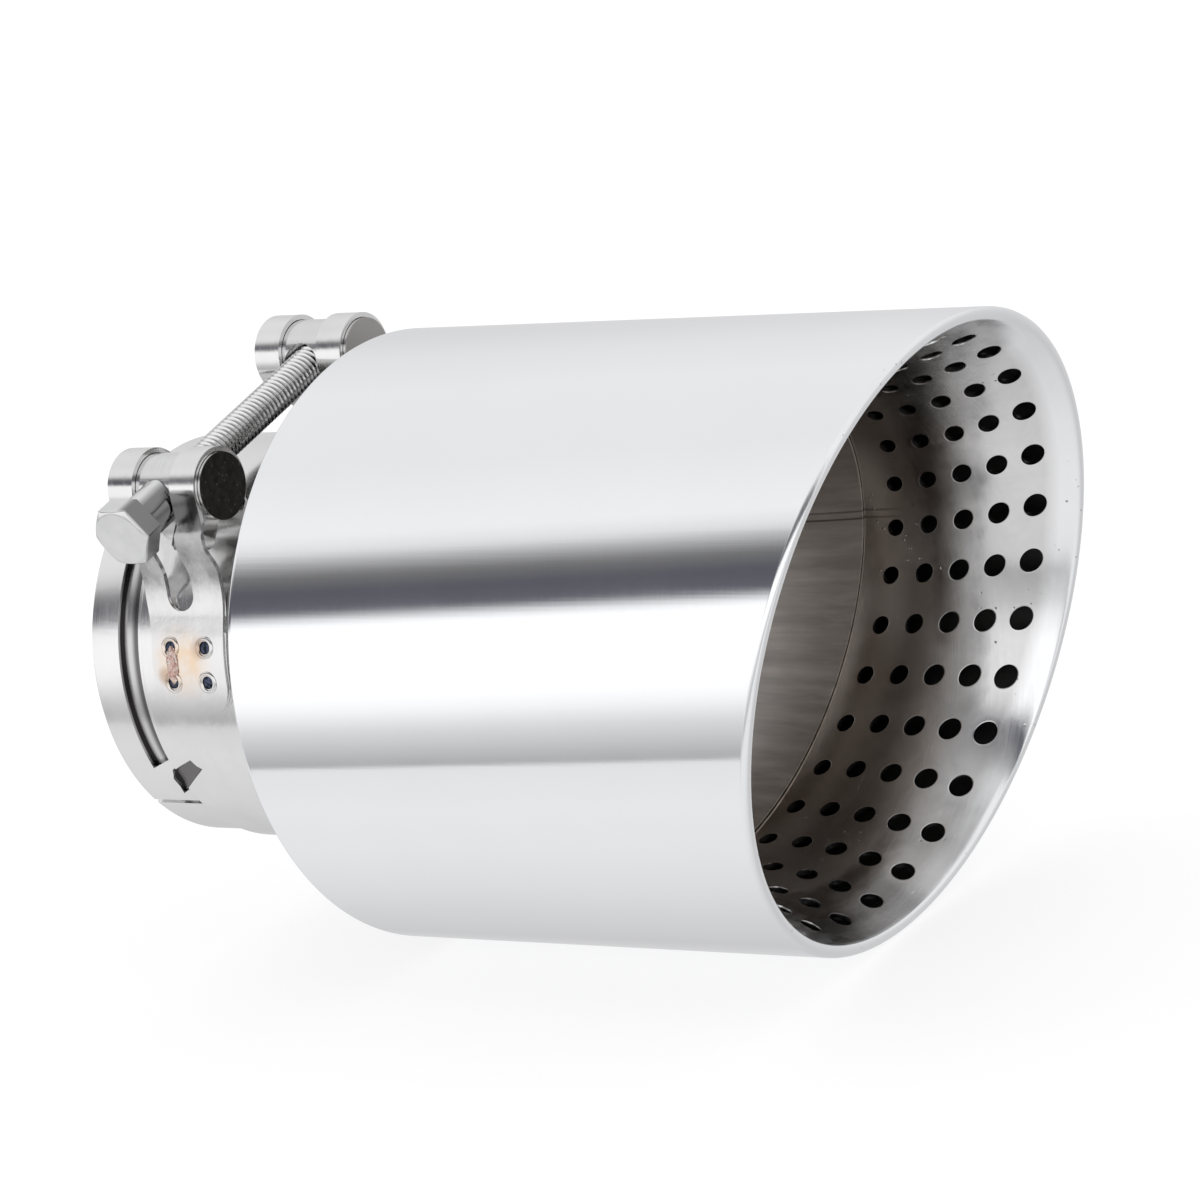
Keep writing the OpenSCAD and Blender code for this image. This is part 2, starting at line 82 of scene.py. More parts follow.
class TipSheetSizes(bpy.types.PropertyGroup):
    """Sizes of the shell, the liner and the inlet tube"""
    shell_r: length("Shell radius", "Outside radius of the polished shell", 50.8)
    shell_wall: length("Shell wall", "Sheet thickness of the shell", 1.0)
    shell_start: length("Shell start", "Place of the shell's rear edge", 45.0)
    total_len: length("Total length", "From the inlet to the outlet's longest point", 160.0)
    slant: angle("Slant", "Angle of the slanted outlet from square", 17.0)
    liner_r: length("Liner radius", "Inside radius of the liner behind its flare", 39.65)
    liner_wall: length("Liner wall", "Sheet thickness of the liner", 1.0)
    liner_tail: length("Liner tail", "Length of the liner's straight rear collar", 5.0)
    flare_len: length("Flare length", "Length of the flare behind the lip", 34.0)
    flare_bow: bpy.props.FloatProperty(
        name="Flare bow", description="How much steeper the flare's front stands than the whole",
        default=1.6, min=1.0)
    lip_r: length("Lip radius", "Radius of the rolled lip", 1.1)
    row_margin: length("Row margin", "From the lip to the first row along the sheet", 6.9)
    row_pitch: length("Row pitch", "Spacing of the rows along the sheet", 6.35)
    hole_front_d: length("Front hole", "Hole diameter next to the lip", 4.0)
    hole_back_d: length("Back hole", "Hole diameter in the rearmost row", 3.0)
    hole_phase: angle("Hole phase", "Turn of the hole pattern about the tube", 4.0)
    hole_twist: angle("Hole twist", "Further turn of the row next to the lip", 1.3)
    row_skew: length("Row skew", "How far the rearmost row runs askew to the lip", 1.75)
    hole_count: bpy.props.IntProperty(name="Holes in a row", description="Number of holes in one row",
                                      default=30, min=12)
    hole_rows: bpy.props.IntProperty(name="Rows", description="Number of rows of holes", default=5, min=1)
    collar_r: length("Collar radius", "Outside radius of the inlet collar", 34.0)
    tube_wall: length("Tube wall", "Wall of the collar and the inner tube", 1.5)
    collar_len: length("Collar length", "Straight length of the collar", 52.0)
    swage_len: length("Swage length", "Length over which the collar widens", 16.0)
    slot_x: length("Slot place", "Place of the squeeze slot's rear edge", 6.0)
    slot_w: length("Slot width", "Width of the squeeze slot", 4.5)
    slot_floor: length("Slot floor", "Sheet left behind the slot and the window", 0.4)
    window_len: length("Window length", "Length of the torn window", 9.3)
    window_w: length("Window width", "Width of the torn window", 9.2)
    slit_w: length("Slit width", "Width of the lengthwise slit", 1.0)
    slit_len: length("Slit length", "Length of the lengthwise slit", 30.0)


class TipClampSizes(bpy.types.PropertyGroup):
    """Sizes of the clamp, its trunnions and its bolt"""
    turn: angle("Clamp turn", "Turn of the clamp about the tube", 10.8)
    bolt_h: length("Bolt height", "Height of the bolt's axis above the tube's axis", 39.8)
    bolt_x: length("Bolt place", "Place of the bolt along the tube", 21.2)
    near_pin_u: length("Near trunnion", "From the clamp's middle to the near trunnion", 17.6)
    far_pin_u: length("Far trunnion", "From the clamp's middle to the far trunnion", 25.9)
    pin_d: length("Trunnion diameter", "Diameter of the trunnions", 11.2)
    pin_len: length("Trunnion length", "Length of the trunnions", 20.4)
    loop_w: length("Loop width", "Width of the loops round the trunnions", 18.9)
    band_x: length("Band place", "Place of the band's rear edge", 11.7)
    band_w: length("Band width", "Width of the band", 19.8)
    band_t: length("Band thickness", "Thickness of the band", 0.8)
    strap_t: length("Strap thickness", "Sheet thickness of the loop straps", 0.8)
    slot_end_w: length("Slot end", "Width of the strap slot's rounded end", 5.7)
    tail_cut: length("Tail cut", "How far the tail is cut back from the band's edge", 4.1)
    tail_corner_r: length("Tail corner", "Radius of the tail's corners", 5.0)
    bend_r: length("Bend radius", "Radius of the outer leg's bend", 12.0)
    dimple_d: length("Dimple diameter", "Diameter of the weld dimples", 2.6)
    dimple_gap: length("Dimple spacing", "Spacing of the weld dimples along the tube", 7.5)
    bolt_d: length("Bolt diameter", "Thread diameter of the bolt", 6.0)
    thread_pitch: length("Thread pitch", "Spacing of the bolt's thread", 1.0)
    head_af: length("Head width", "Width across flats of the bolt's head", 10.0)
    head_h: length("Head height", "Height of the bolt's head", 4.2)
    sleeve_d: length("Sleeve diameter", "Outside diameter of the spacer sleeve", 7.6)
    sleeve_len: length("Sleeve length", "Length of the spacer sleeve", 8.0)
    seat_depth: length("Seat depth", "Depth of the sleeve's seat in the near trunnion", 1.6)


class TipFinishes(bpy.types.PropertyGroup):
    """Colours of the metals"""
    polished: colour("Polished shell", "Mirror-polished stainless sheet", (0.86, 0.865, 0.875))
    liner: colour("Liner", "Hand-polished stainless sheet", (0.74, 0.735, 0.73))
    inner: colour("Inner tube", "Brushed stainless tube", (0.86, 0.81, 0.76))
    clamp: colour("Clamp sheet", "Bright stainless strip", (0.78, 0.775, 0.77))
    bolt: colour("Bolt", "Plain stainless steel", (0.74, 0.74, 0.735))
    pin_end: colour("Trunnion end", "Dark end of the near trunnion", (0.055, 0.052, 0.05))
    far_end: colour("Far trunnion end", "Ground end of the far trunnion", (0.42, 0.405, 0.39))
    straw: colour("Heat tint", "Straw heat tint round the spot welds", (0.74, 0.55, 0.37))


class TipStageSetup(bpy.types.PropertyGroup):
    """Camera, floor and light"""
    azimuth: angle("Azimuth", "Camera's turn round the part", 39.48)
    elevation: angle("Elevation", "Camera's height above the horizon", 17.29)
    roll: angle("Roll", "Camera's roll about its line of sight", 13.62)
    distance: length("Distance", "From the camera to the aim point's plane", 842.3)
    right_off: length("Aim to the right", "How far the aim point lies right of the frame's middle", 7.08)
    down_off: length("Aim down", "How far the aim point lies below the frame's middle", 5.43)
    lens: bpy.props.FloatProperty(name="Lens", description="Focal length on a 36 mm sensor", default=156.0,
                                  min=10.0, subtype="DISTANCE_CAMERA")


# Modelling helpers

def deselect():
    if bpy.context.mode != "OBJECT":
        bpy.ops.object.mode_set(mode="OBJECT")
    bpy.ops.object.select_all(action="DESELECT")


def only(obj):
    deselect()
    obj.select_set(True)
    bpy.context.view_layer.objects.active = obj


def settle(obj, name):
    """Names a new piece and puts its place into its mesh."""
    only(obj)
    bpy.ops.object.transform_apply(location=True, rotation=True, scale=True)
    obj.name = name
    obj.data.name = name
    return obj


def in_edit(obj):
    """Enters edit mode with everything selected."""
    only(obj)
    bpy.ops.object.mode_set(mode="EDIT")
    bpy.ops.mesh.select_mode(type="VERT")
    bpy.ops.mesh.select_all(action="SELECT")


def outward(obj):
    """Turns all faces outward and leaves edit mode."""
    in_edit(obj)
    bpy.ops.mesh.normals_make_consistent(inside=False)
    bpy.ops.object.mode_set(mode="OBJECT")


def pick(obj, test):
    """Enters edit mode with only the points selected whose place passes the test."""
    only(obj)
    mesh = obj.data
    for parts in (mesh.vertices, mesh.edges, mesh.polygons):
        parts.foreach_set("select", [False] * len(parts))
    mesh.vertices.foreach_set("select", [bool(test(v.co)) for v in mesh.vertices])
    bpy.ops.object.mode_set(mode="EDIT")
    bpy.ops.mesh.select_mode(type="VERT")


def joined(objs, name):
    deselect()
    for o in objs:
        o.select_set(True)
    bpy.context.view_layer.objects.active = objs[0]
    if len(objs) > 1:
        bpy.ops.object.join()
    return settle(bpy.context.view_layer.objects.active, name)


def modified(obj, kind, **values):
    """Adds one modifier, sets its values and applies it."""
    only(obj)
    mod = obj.modifiers.new(kind.title(), kind)
    for key, value in values.items():
        setattr(mod, key, value)
    bpy.ops.object.modifier_apply(modifier=mod.name)


def smooth(obj, degrees=35):
    only(obj)
    bpy.ops.object.shade_smooth_by_angle(angle=math.radians(degrees))


def finished(obj, material, replaces=()):
    """Gives a piece its metal and its body, and hides the nodes that it stands in for."""
    obj.data.materials.clear()
    obj.data.materials.append(material)
    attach(obj, "root")
    if replaces:
        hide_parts(*replaces)
    return obj


def drawn(points):
    """A chain of edges through the points, drawn one by one and closed to a loop."""
    deselect()
    bpy.ops.mesh.primitive_plane_add(size=1.0)
    obj = bpy.context.object
    bpy.ops.object.mode_set(mode="EDIT")
    bpy.ops.mesh.select_all(action="SELECT")
    bpy.ops.mesh.merge(type="CENTER")
    points = [Vector(p) for p in points]
    bpy.ops.transform.translate(value=points[0])
    for a, b in zip(points, points[1:]):
        bpy.ops.mesh.extrude_region_move(TRANSFORM_OT_translate={"value": b - a})
    bpy.ops.object.mode_set(mode="OBJECT")
    pick(obj, lambda p: min((p - e).length for e in (points[0], points[-1])) < 0.000001)
    bpy.ops.mesh.edge_face_add()
    bpy.ops.object.mode_set(mode="OBJECT")
    return obj


def spun(name, profile, steps):
    """A closed profile of (x, r) points spun about the tube's axis."""
    obj = drawn([(x, 0.0, r) for x, r in profile])
    in_edit(obj)
    bpy.ops.mesh.spin(steps=steps, angle=2 * math.pi, center=(0, 0, 0), axis=(1, 0, 0))
    bpy.ops.mesh.select_all(action="SELECT")
    bpy.ops.mesh.remove_doubles(threshold=0.00001)
    bpy.ops.mesh.normals_make_consistent(inside=False)
    bpy.ops.object.mode_set(mode="OBJECT")
    return settle(obj, name)


def prism(name, points, along):
    """A flat outline pulled out along a vector."""
    obj = drawn(points)
    in_edit(obj)
    bpy.ops.mesh.edge_face_add()
    bpy.ops.mesh.extrude_region_move(TRANSFORM_OT_translate={"value": along})
    bpy.ops.mesh.select_all(action="SELECT")
    bpy.ops.mesh.normals_make_consistent(inside=False)
    bpy.ops.object.mode_set(mode="OBJECT")
    return settle(obj, name)


def turned(obj, matrix):
    """Puts a piece in its place and keeps the place in its mesh."""
    obj.matrix_world = matrix @ obj.matrix_world
    only(obj)
    bpy.ops.object.transform_apply(location=True, rotation=True, scale=True)
    return obj


def cut(obj, *cutters, operation="DIFFERENCE"):
    for cutter in cutters:
        modified(obj, "BOOLEAN", operation=operation, solver="EXACT", object=cutter)
        only(cutter)
        bpy.ops.object.delete()
    return obj


def eased(obj, width, segments=2, angle=35):
    """Rounds a piece's sharp edges."""
    modified(obj, "BEVEL", width=width * MM, segments=segments, limit_method="ANGLE",
             angle_limit=math.radians(angle), harden_normals=False)
    smooth(obj, 35)
    modified(obj, "WEIGHTED_NORMAL", mode="FACE_AREA", keep_sharp=True)


def barrel(name, radius, low, high, steps=64):
    """A round bar along Z between two heights."""
    deselect()
    bpy.ops.mesh.primitive_cylinder_add(vertices=steps, radius=radius, depth=high - low,
                                        location=(0, 0, (low + high) / 2))
    return settle(bpy.context.object, name)


def on_side(degrees, radius, x=0.0):
    """Stands a shape drawn with X forward and Z outward on the tube's side."""
    return (Matrix.Rotation(math.radians(degrees - 90), 4, "X") @ Matrix.Translation((x, 0, radius)))


# Node helpers for the finishes

class Nodes:
    """A short hand for building one material's nodes."""

    def __init__(self, name):
        self.material = bpy.data.materials.new(name)
        self.material.use_nodes = True
        self.tree = self.material.node_tree
        self.bsdf = self.tree.nodes["Principled BSDF"]
        self.bsdf.inputs["Metallic"].default_value = 1.0
        coord = self.tree.nodes.new("ShaderNodeTexCoord")
        self.place = coord.outputs["Object"]

    def link(self, a, b):
        self.tree.links.new(a, b)

    def put(self, socket, value):
        if isinstance(value, bpy.types.NodeSocket):
            self.link(value, socket)
        else:
            socket.default_value = value

    def math(self, op, a, b=None, c=None):
        n = self.tree.nodes.new("ShaderNodeMath")
        n.operation = op
        for i, v in enumerate((a, b, c)):
            if v is not None:
                self.put(n.inputs[i], v)
        return n.outputs[0]

    def off(self, value, middle):
        """How far a value lies from a middle, either way."""
        return self.math("ABSOLUTE", self.math("SUBTRACT", value, middle))

    def between(self, value, low, high):
        return self.math("LESS_THAN", self.off(value, (low + high) / 2), (high - low) / 2)

    def length(self, a, b):
        """Length of the two values taken as the sides of a right angle."""
        return self.math("SQRT", self.math("ADD", self.math("MULTIPLY", a, a), self.math("MULTIPLY", b, b)))

    def split(self):
        n = self.tree.nodes.new("ShaderNodeSeparateXYZ")
        self.link(self.place, n.inputs[0])
        return n.outputs

    def stretched(self, scale):
        """The place with its axes scaled, for lines that run one way."""
        n = self.tree.nodes.new("ShaderNodeMapping")
        self.link(self.place, n.inputs["Vector"])
        n.inputs["Scale"].default_value = scale
        return n.outputs[0]

    def radius(self):
        """Distance from the tube's axis."""
        x, y, z = self.split()
        return self.length(y, z)

    def near(self, place, low, high):
        """One close to a place in millimetres and zero past the higher distance."""
        n = self.tree.nodes.new("ShaderNodeVectorMath")
        n.operation = "DISTANCE"
        self.link(self.place, n.inputs[0])
        n.inputs[1].default_value = [v * MM for v in place]
        return self.span(n.outputs["Value"], low * MM, high * MM, 1.0, 0.0, "SMOOTHSTEP")

    def seam(self):
        """The tube's lengthwise weld seam on the far side: its ridge and its two dark edges."""
        x, y, z = self.split()
        off = self.off(self.math("ARCTAN2", z, y), math.radians(8.0))
        ridge = self.span(off, math.radians(0.7), math.radians(1.1), 1.0, 0.0)
        edge = self.span(self.off(off, math.radians(1.0)), math.radians(0.12), math.radians(0.4), 1.0, 0.0)
        return ridge, edge

    def noise(self, scale, detail=3.0, rough=0.55, vector=None, distortion=0.0):
        n = self.tree.nodes.new("ShaderNodeTexNoise")
        self.link(vector or self.place, n.inputs["Vector"])
        n.inputs["Scale"].default_value = scale
        n.inputs["Detail"].default_value = detail
        n.inputs["Roughness"].default_value = rough
        n.inputs["Distortion"].default_value = distortion
        return n.outputs["Fac"]

    def spots(self, scale):
        n = self.tree.nodes.new("ShaderNodeTexVoronoi")
        self.link(self.place, n.inputs["Vector"])
        n.inputs["Scale"].default_value = scale
        return n.outputs["Distance"]

    def span(self, value, low, high, to_low=0.0, to_high=1.0, ease="LINEAR"):
        n = self.tree.nodes.new("ShaderNodeMapRange")
        n.interpolation_type = ease
        self.put(n.inputs["Value"], value)
        for key, v in (("From Min", low), ("From Max", high), ("To Min", to_low), ("To Max", to_high)):
            self.put(n.inputs[key], v)
        return n.outputs[0]

    def mix(self, factor, a, b, kind="MIX"):
        n = self.tree.nodes.new("ShaderNodeMix")
        n.data_type = "RGBA"
        n.blend_type = kind
        self.put(n.inputs[0], factor)
        for socket, v in ((n.inputs[6], a), (n.inputs[7], b)):
            self.put(socket, v if isinstance(v, bpy.types.NodeSocket) else (*v, 1.0))
        return n.outputs[2]

    def bump(self, *layers):
        """Layers of (height, strength, distance), one on the other."""
        normal = None
        for height, strength, distance in layers:
            n = self.tree.nodes.new("ShaderNodeBump")
            n.inputs["Strength"].default_value = strength
            n.inputs["Distance"].default_value = distance
            self.link(height, n.inputs["Height"])
            if normal:
                self.link(normal, n.inputs["Normal"])
            normal = n.outputs[0]
        self.link(normal, self.bsdf.inputs["Normal"])

    def colour(self, value):
        self.link(value, self.bsdf.inputs["Base Color"])

    def rough(self, value):
        self.put(self.bsdf.inputs["Roughness"], value)


FINISH = {}


def polished_shell(tint, s):
    """Mirror polish with faint buffing lines round the tube and a soft haze, and painted shade that darkens
    the shell's inside.
    """
    n = Nodes("mirror_polished_steel")
    haze = n.noise(38.0, 4.0, 0.6)
    round_lines = n.noise(1.0, 3.0, 0.7, n.stretched((5200.0, 18.0, 18.0)))
    long_lines = n.noise(1.0, 3.0, 0.7, n.stretched((14.0, 900.0, 900.0)))
    # Painted shade: the shell's inside is painted near black and made rougher.
    inner = n.math("LESS_THAN", n.radius(), s.shell_r - 0.8 * s.shell_wall)
    outside = n.mix(n.span(haze, 0.35, 0.7), [c * 0.985 for c in tint], tint)
    n.colour(n.mix(inner, outside, (0.10, 0.10, 0.10)))
    sheen = n.math("ADD", n.span(haze, 0.3, 0.75, 0.035, 0.06), n.span(round_lines, 0.3, 0.8, 0.0, 0.03))
    n.rough(n.math("MULTIPLY_ADD", inner, 0.4, sheen))
    n.bump((round_lines, 0.04, 0.00002), (long_lines, 0.05, 0.00006))
    return n.material


def liner_steel(tint, s):
    """Hand-polished flared sheet: mottled polish, streaks along the flare, small pits and painted light
    next to the lip.
    """
    lip = s.total_len - s.shell_r * math.tan(s.slant)
    n = Nodes("polished_liner_steel")
    mottle = n.noise(95.0, 5.0, 0.6, distortion=0.6)
    waves = n.noise(42.0, 2.0, 0.5)
    streak = n.noise(1.0, 4.0, 0.65, n.stretched((160.0, 1500.0, 1500.0)))
    lines = n.noise(1.0, 3.0, 0.7, n.stretched((3600.0, 60.0, 60.0)))
    pits = n.span(n.spots(620.0), 0.0, 0.16, 1.0, 0.0)
    patch = n.span(n.noise(60.0, 2.0, 0.5), 0.56, 0.64)
    pitted = n.math("MULTIPLY", pits, patch)
    x, y, z = n.split()
    place = n.math("SUBTRACT", n.math("MULTIPLY_ADD", z, -math.tan(s.slant), x), lip)
    ridge, edge = n.seam()
    back = n.math("ADD", place, n.span(waves, 0.3, 0.7, -0.006, 0.006))
    low = n.span(z, -0.03, 0.01, 0.9, 0.75)
    base = n.mix(n.span(mottle, 0.35, 0.7), [c * 0.84 for c in tint], tint)
    brown = n.math("MULTIPLY", n.span(back, -34.5 * MM, -14.5 * MM, 1.0, 0.0), low)
    base = n.mix(brown, base, (0.36, 0.31, 0.27))
    # Painted light: the sheet is painted brighter within a few millimetres of the lip.
    base = n.mix(n.span(place, -5.5 * MM, -3 * MM), base, (0.86, 0.865, 0.87))
    line = n.math("MULTIPLY", edge, n.span(place, -32.5 * MM, -28.5 * MM, 0.7, 0.0))
    base = n.mix(line, base, (0.16, 0.14, 0.13))
    n.colour(n.mix(pitted, base, (0.12, 0.11, 0.10)))
    n.rough(n.math("ADD", n.span(mottle, 0.3, 0.75, 0.10, 0.24), n.span(lines, 0.35, 0.8, 0.0, 0.08)))
    n.bump((waves, 0.35, 0.0008), (streak, 0.05, 0.00006), (lines, 0.06, 0.00004), (pitted, 0.5, -0.00015))
    return n.material


def tube_steel(tint, s):
    """Slotted collar outside and brushed, slightly heat-browned tube inside; painted shade darkens the tube
    towards the top and the slot's floor, with a painted highlight stripe in the slot.
    """
    floor_r = s.collar_r - s.tube_wall + s.slot_floor
    slot_start, slot_end = s.slot_x - 0.8 * MM, s.slot_x + s.slot_w + s.window_len + 3 * MM
    n = Nodes("inlet_tube_steel")
    x, y, z = n.split()
    haze = n.noise(55.0, 4.0, 0.6)
    lines = n.noise(1.0, 4.0, 0.75, n.stretched((5200.0, 40.0, 40.0)))
    inside = n.span(x, s.collar_len + 6 * MM, s.collar_len + 12 * MM)
    long_lines = n.noise(1.0, 3.0, 0.7, n.stretched((30.0, 420.0, 420.0)))
    ridge, edge = n.seam()
    brown = n.mix(n.span(haze, 0.35, 0.7), [c * 0.8 for c in tint], tint)
    brown = n.mix(n.span(long_lines, 0.35, 0.7), [c * 0.62 for c in tint], brown)
    # Painted shade: the inside is painted darker brown towards the top.
    brown = n.mix(n.span(z, -0.022, 0.02, 0.0, 0.6), brown, (0.34, 0.29, 0.25))
    brown = n.mix(n.math("MULTIPLY", edge, 0.7), brown, (0.12, 0.10, 0.09))
    bright = n.mix(n.span(haze, 0.35, 0.7), (0.74, 0.735, 0.73), (0.80, 0.80, 0.80))
    radius = n.radius()
    # Painted shade: the floor of the slot and window is painted dark, with a painted highlight stripe
    # running round the slot near its rear edge.
    sunk = n.between(radius, floor_r - 0.25 * MM, floor_r + 0.6 * MM)
    sunk = n.math("MULTIPLY", sunk, n.between(x, slot_start, slot_end))
    painted_slot_highlight = n.span(n.off(x, s.slot_x + 1.6 * MM), 0.3 * MM, 1.2 * MM, 0.9, 0.0)
    floor = n.mix(painted_slot_highlight, (0.15, 0.145, 0.145), (0.62, 0.615, 0.61))
    n.colour(n.mix(sunk, n.mix(inside, bright, brown), floor))
    satin = n.math("ADD", n.span(haze, 0.3, 0.75, 0.10, 0.18), n.span(lines, 0.3, 0.8, 0.0, 0.10))
    n.rough(n.math("ADD", satin, n.math("MULTIPLY", inside, 0.28)))
    n.bump((haze, 0.10, 0.0004), (lines, 0.10, 0.00004), (n.math("MULTIPLY", ridge, inside), 0.5, 0.0002))
    return n.material


def plate_steel(tint):
    """Pressed stainless plate with faint drawing lines round the tube."""
    n = Nodes("pressed_plate_steel")
    haze = n.noise(70.0, 4.0, 0.6)
    lines = n.noise(1.0, 3.0, 0.7, n.stretched((60.0, 1800.0, 1800.0)))
    n.colour(n.mix(n.span(haze, 0.35, 0.7), [c * 0.85 for c in tint], tint))
    n.rough(n.math("ADD", n.span(haze, 0.3, 0.75, 0.16, 0.28), n.span(lines, 0.35, 0.8, 0.0, 0.08)))
    n.bump((haze, 0.15, 0.0004), (lines, 0.06, 0.00004))
    return n.material


def tack_steel():
    """Small pinkish-brown tack weld with a grainy skin."""
    n = Nodes("tack_weld_metal")
    grain = n.noise(2600.0, 4.0, 0.65)
    patch = n.noise(900.0, 2.0, 0.5)
    tone = n.mix(n.span(patch, 0.4, 0.6), (0.74, 0.50, 0.44), (0.92, 0.80, 0.72))
    n.colour(n.mix(n.span(grain, 0.34, 0.5), (0.34, 0.20, 0.17), tone))
    n.rough(n.span(grain, 0.3, 0.7, 0.22, 0.4))
    n.bump((grain, 0.9, 0.00022),)
    return n.material


def scorched_steel():
    """The burnt floor of a weld dimple, dark blue to black."""
    n = Nodes("scorched_dimple_metal")
    grain = n.noise(1500.0, 3.0, 0.6)
    n.colour(n.mix(n.span(grain, 0.35, 0.65), (0.012, 0.014, 0.02), (0.10, 0.12, 0.18)))
    n.rough(n.span(grain, 0.3, 0.7, 0.2, 0.45))
    n.bump((grain, 0.6, 0.0001),)
    return n.material


def weld_steel():
    """Weld metal with cooling ripples and dull oxide."""
    n = Nodes("weld_metal")
    x, y, z = n.split()
    turn = n.math("ARCTAN2", z, y)
    grain = n.noise(700.0, 4.0, 0.6)
    ripple = n.math("SINE", n.math("MULTIPLY_ADD", turn, 130.0, n.math("MULTIPLY", grain, 3.0)))
    n.colour(n.mix(n.span(grain, 0.35, 0.7), (0.36, 0.34, 0.33), (0.62, 0.60, 0.58)))
    n.rough(n.span(grain, 0.3, 0.7, 0.32, 0.5))
    n.bump((ripple, 0.6, 0.00012), (grain, 0.3, 0.00008))
    return n.material


def clamp_steel(tint, straw, c):
    """Bright strip with straw and brown heat tint round the welded tails, and patchy painted shade on the
    arms under the trunnion loops.
    """
    n = Nodes("clamp_strip_steel")
    haze = n.noise(120.0, 4.0, 0.6)
    lines = n.noise(1.0, 3.0, 0.7, n.stretched((2800.0, 70.0, 70.0)))
    base = n.mix(n.span(haze, 0.35, 0.7), [v * 0.93 for v in tint], tint)
    radius = n.radius()
    # Painted shade: the arms below the trunnion loops are painted darker in patches.
    low_arm, high_arm = c.bolt_h - 3.5 * MM, c.bolt_h + 1.2 * MM
    painted_arm_shade = n.math("MULTIPLY", n.span(radius, low_arm, low_arm + 2.2 * MM),
                  n.span(radius, high_arm, high_arm + 3 * MM, 0.72, 0.0))
    patches = n.span(n.noise(230.0, 4.0, 0.65), 0.35, 0.65)
    dull = n.mix(patches, [v * 0.22 for v in tint], [v * 0.66 for v in tint])
    base = n.mix(painted_arm_shade, base, dull)
    cloud = n.span(n.noise(420.0, 2.0, 0.5), 0.3, 0.7, 0.35, 1.0)
    tail_middle, upper_front, lower_rear = (22.2, -35.4, 8.9), (26.3, -35.0, 11.2), (18.4, -36.0, 6.6)
    tail = n.math("MULTIPLY", n.near(tail_middle, 1.5, 7.5), cloud)
    base = n.mix(n.math("MULTIPLY", tail, 0.9), base, straw)
    burn = n.math("MAXIMUM", n.near(upper_front, 0.6, 2.6), n.near(lower_rear, 0.6, 2.2))
    n.colour(n.mix(n.math("MULTIPLY", burn, 0.6), base, (0.42, 0.25, 0.13)))
    n.rough(n.math("ADD", n.span(haze, 0.3, 0.75, 0.09, 0.17), n.span(lines, 0.35, 0.8, 0.0, 0.07)))
    n.bump((haze, 0.12, 0.0003), (lines, 0.06, 0.00003))
    return n.material


def trunnion_steel(tint, end_tint, far_tint, c):
    """Turned barrel with dark, specked ends on the near one and plain ground ends on the far one."""
    n = Nodes("trunnion_steel")
    x, y, z = n.split()
    lines = n.noise(1.0, 3.0, 0.7, n.stretched((4200.0, 60.0, 60.0)))
    speck = n.noise(900.0, 3.0, 0.6)
    end = n.math("GREATER_THAN", n.off(x, c.bolt_x), c.pin_len / 2 - 0.22 * MM)
    dots = n.span(n.spots(1100.0), 0.05, 0.2, 0.6, 0.0)
    matte = n.mix(n.span(speck, 0.35, 0.65), [v * 0.55 for v in end_tint], end_tint)
    matte = n.mix(dots, matte, (0.3, 0.3, 0.3))
    matte = n.mix(n.math("GREATER_THAN", y, 0.0), matte, far_tint)
    n.colour(n.mix(end, n.mix(n.span(lines, 0.3, 0.8), [v * 0.9 for v in tint], tint), matte))
    n.rough(n.math("MULTIPLY_ADD", end, 0.35, n.span(lines, 0.3, 0.8, 0.12, 0.24)))
    n.bump((lines, 0.10, 0.00004), (speck, 0.10, 0.00004))
    return n.material


def bolt_steel(tint, c):
    """Plain bolt steel with painted shade in the thread's roots, on its underside and on the front sides of
    the head and the sleeve.
    """
    thread_start = c.seat_depth - c.near_pin_u - 3.5 * MM
    head_top = -c.near_pin_u - c.pin_d / 2 + c.seat_depth - c.sleeve_len - c.head_h
    n = Nodes("bolt_steel")
    haze = n.noise(260.0, 4.0, 0.6)
    lines = n.noise(1.0, 3.0, 0.7, n.stretched((700.0, 2600.0, 700.0)))
    x, y, z = n.split()
    run = n.math("MULTIPLY_ADD", z, math.sin(c.turn), n.math("MULTIPLY", y, math.cos(c.turn)))
    high = n.math("MULTIPLY_ADD", y, -math.sin(c.turn), n.math("MULTIPLY", z, math.cos(c.turn)))
    off = n.math("SUBTRACT", high, c.bolt_h)
    root = n.length(off, n.math("SUBTRACT", x, c.bolt_x))
    # Painted shade: the thread is painted dark on its underside and in its roots.
    under = n.math("MAXIMUM", n.span(off, -1.2 * MM, -0.1 * MM, 0.75, 0.0),
                   n.span(root, c.bolt_d / 2 - 0.6 * MM, c.bolt_d / 2 - 0.21 * MM, 0.6, 0.0))
    under = n.math("MULTIPLY", under, n.math("GREATER_THAN", run, thread_start))
    # Painted shade: the +X sides of the head, the sleeve and the plain shank are painted dark too.
    side = n.span(x, c.bolt_x + MM, c.bolt_x + 2.4 * MM, 0.0, 0.8)
    side = n.math("MULTIPLY", side, n.span(run, head_top + 0.4 * MM, head_top + 0.8 * MM))
    under = n.math("MAXIMUM", under, n.math("MULTIPLY", side, n.math("LESS_THAN", run, thread_start)))
    base = n.mix(n.span(haze, 0.35, 0.7), [v * 0.9 for v in tint], tint)
    n.colour(n.mix(under, base, (0.10, 0.10, 0.10)))
    n.rough(n.math("ADD", n.span(haze, 0.3, 0.75, 0.12, 0.22), n.span(lines, 0.35, 0.8, 0.0, 0.06)))
    n.bump((haze, 0.08, 0.0001), (lines, 0.06, 0.00003))
    return n.material


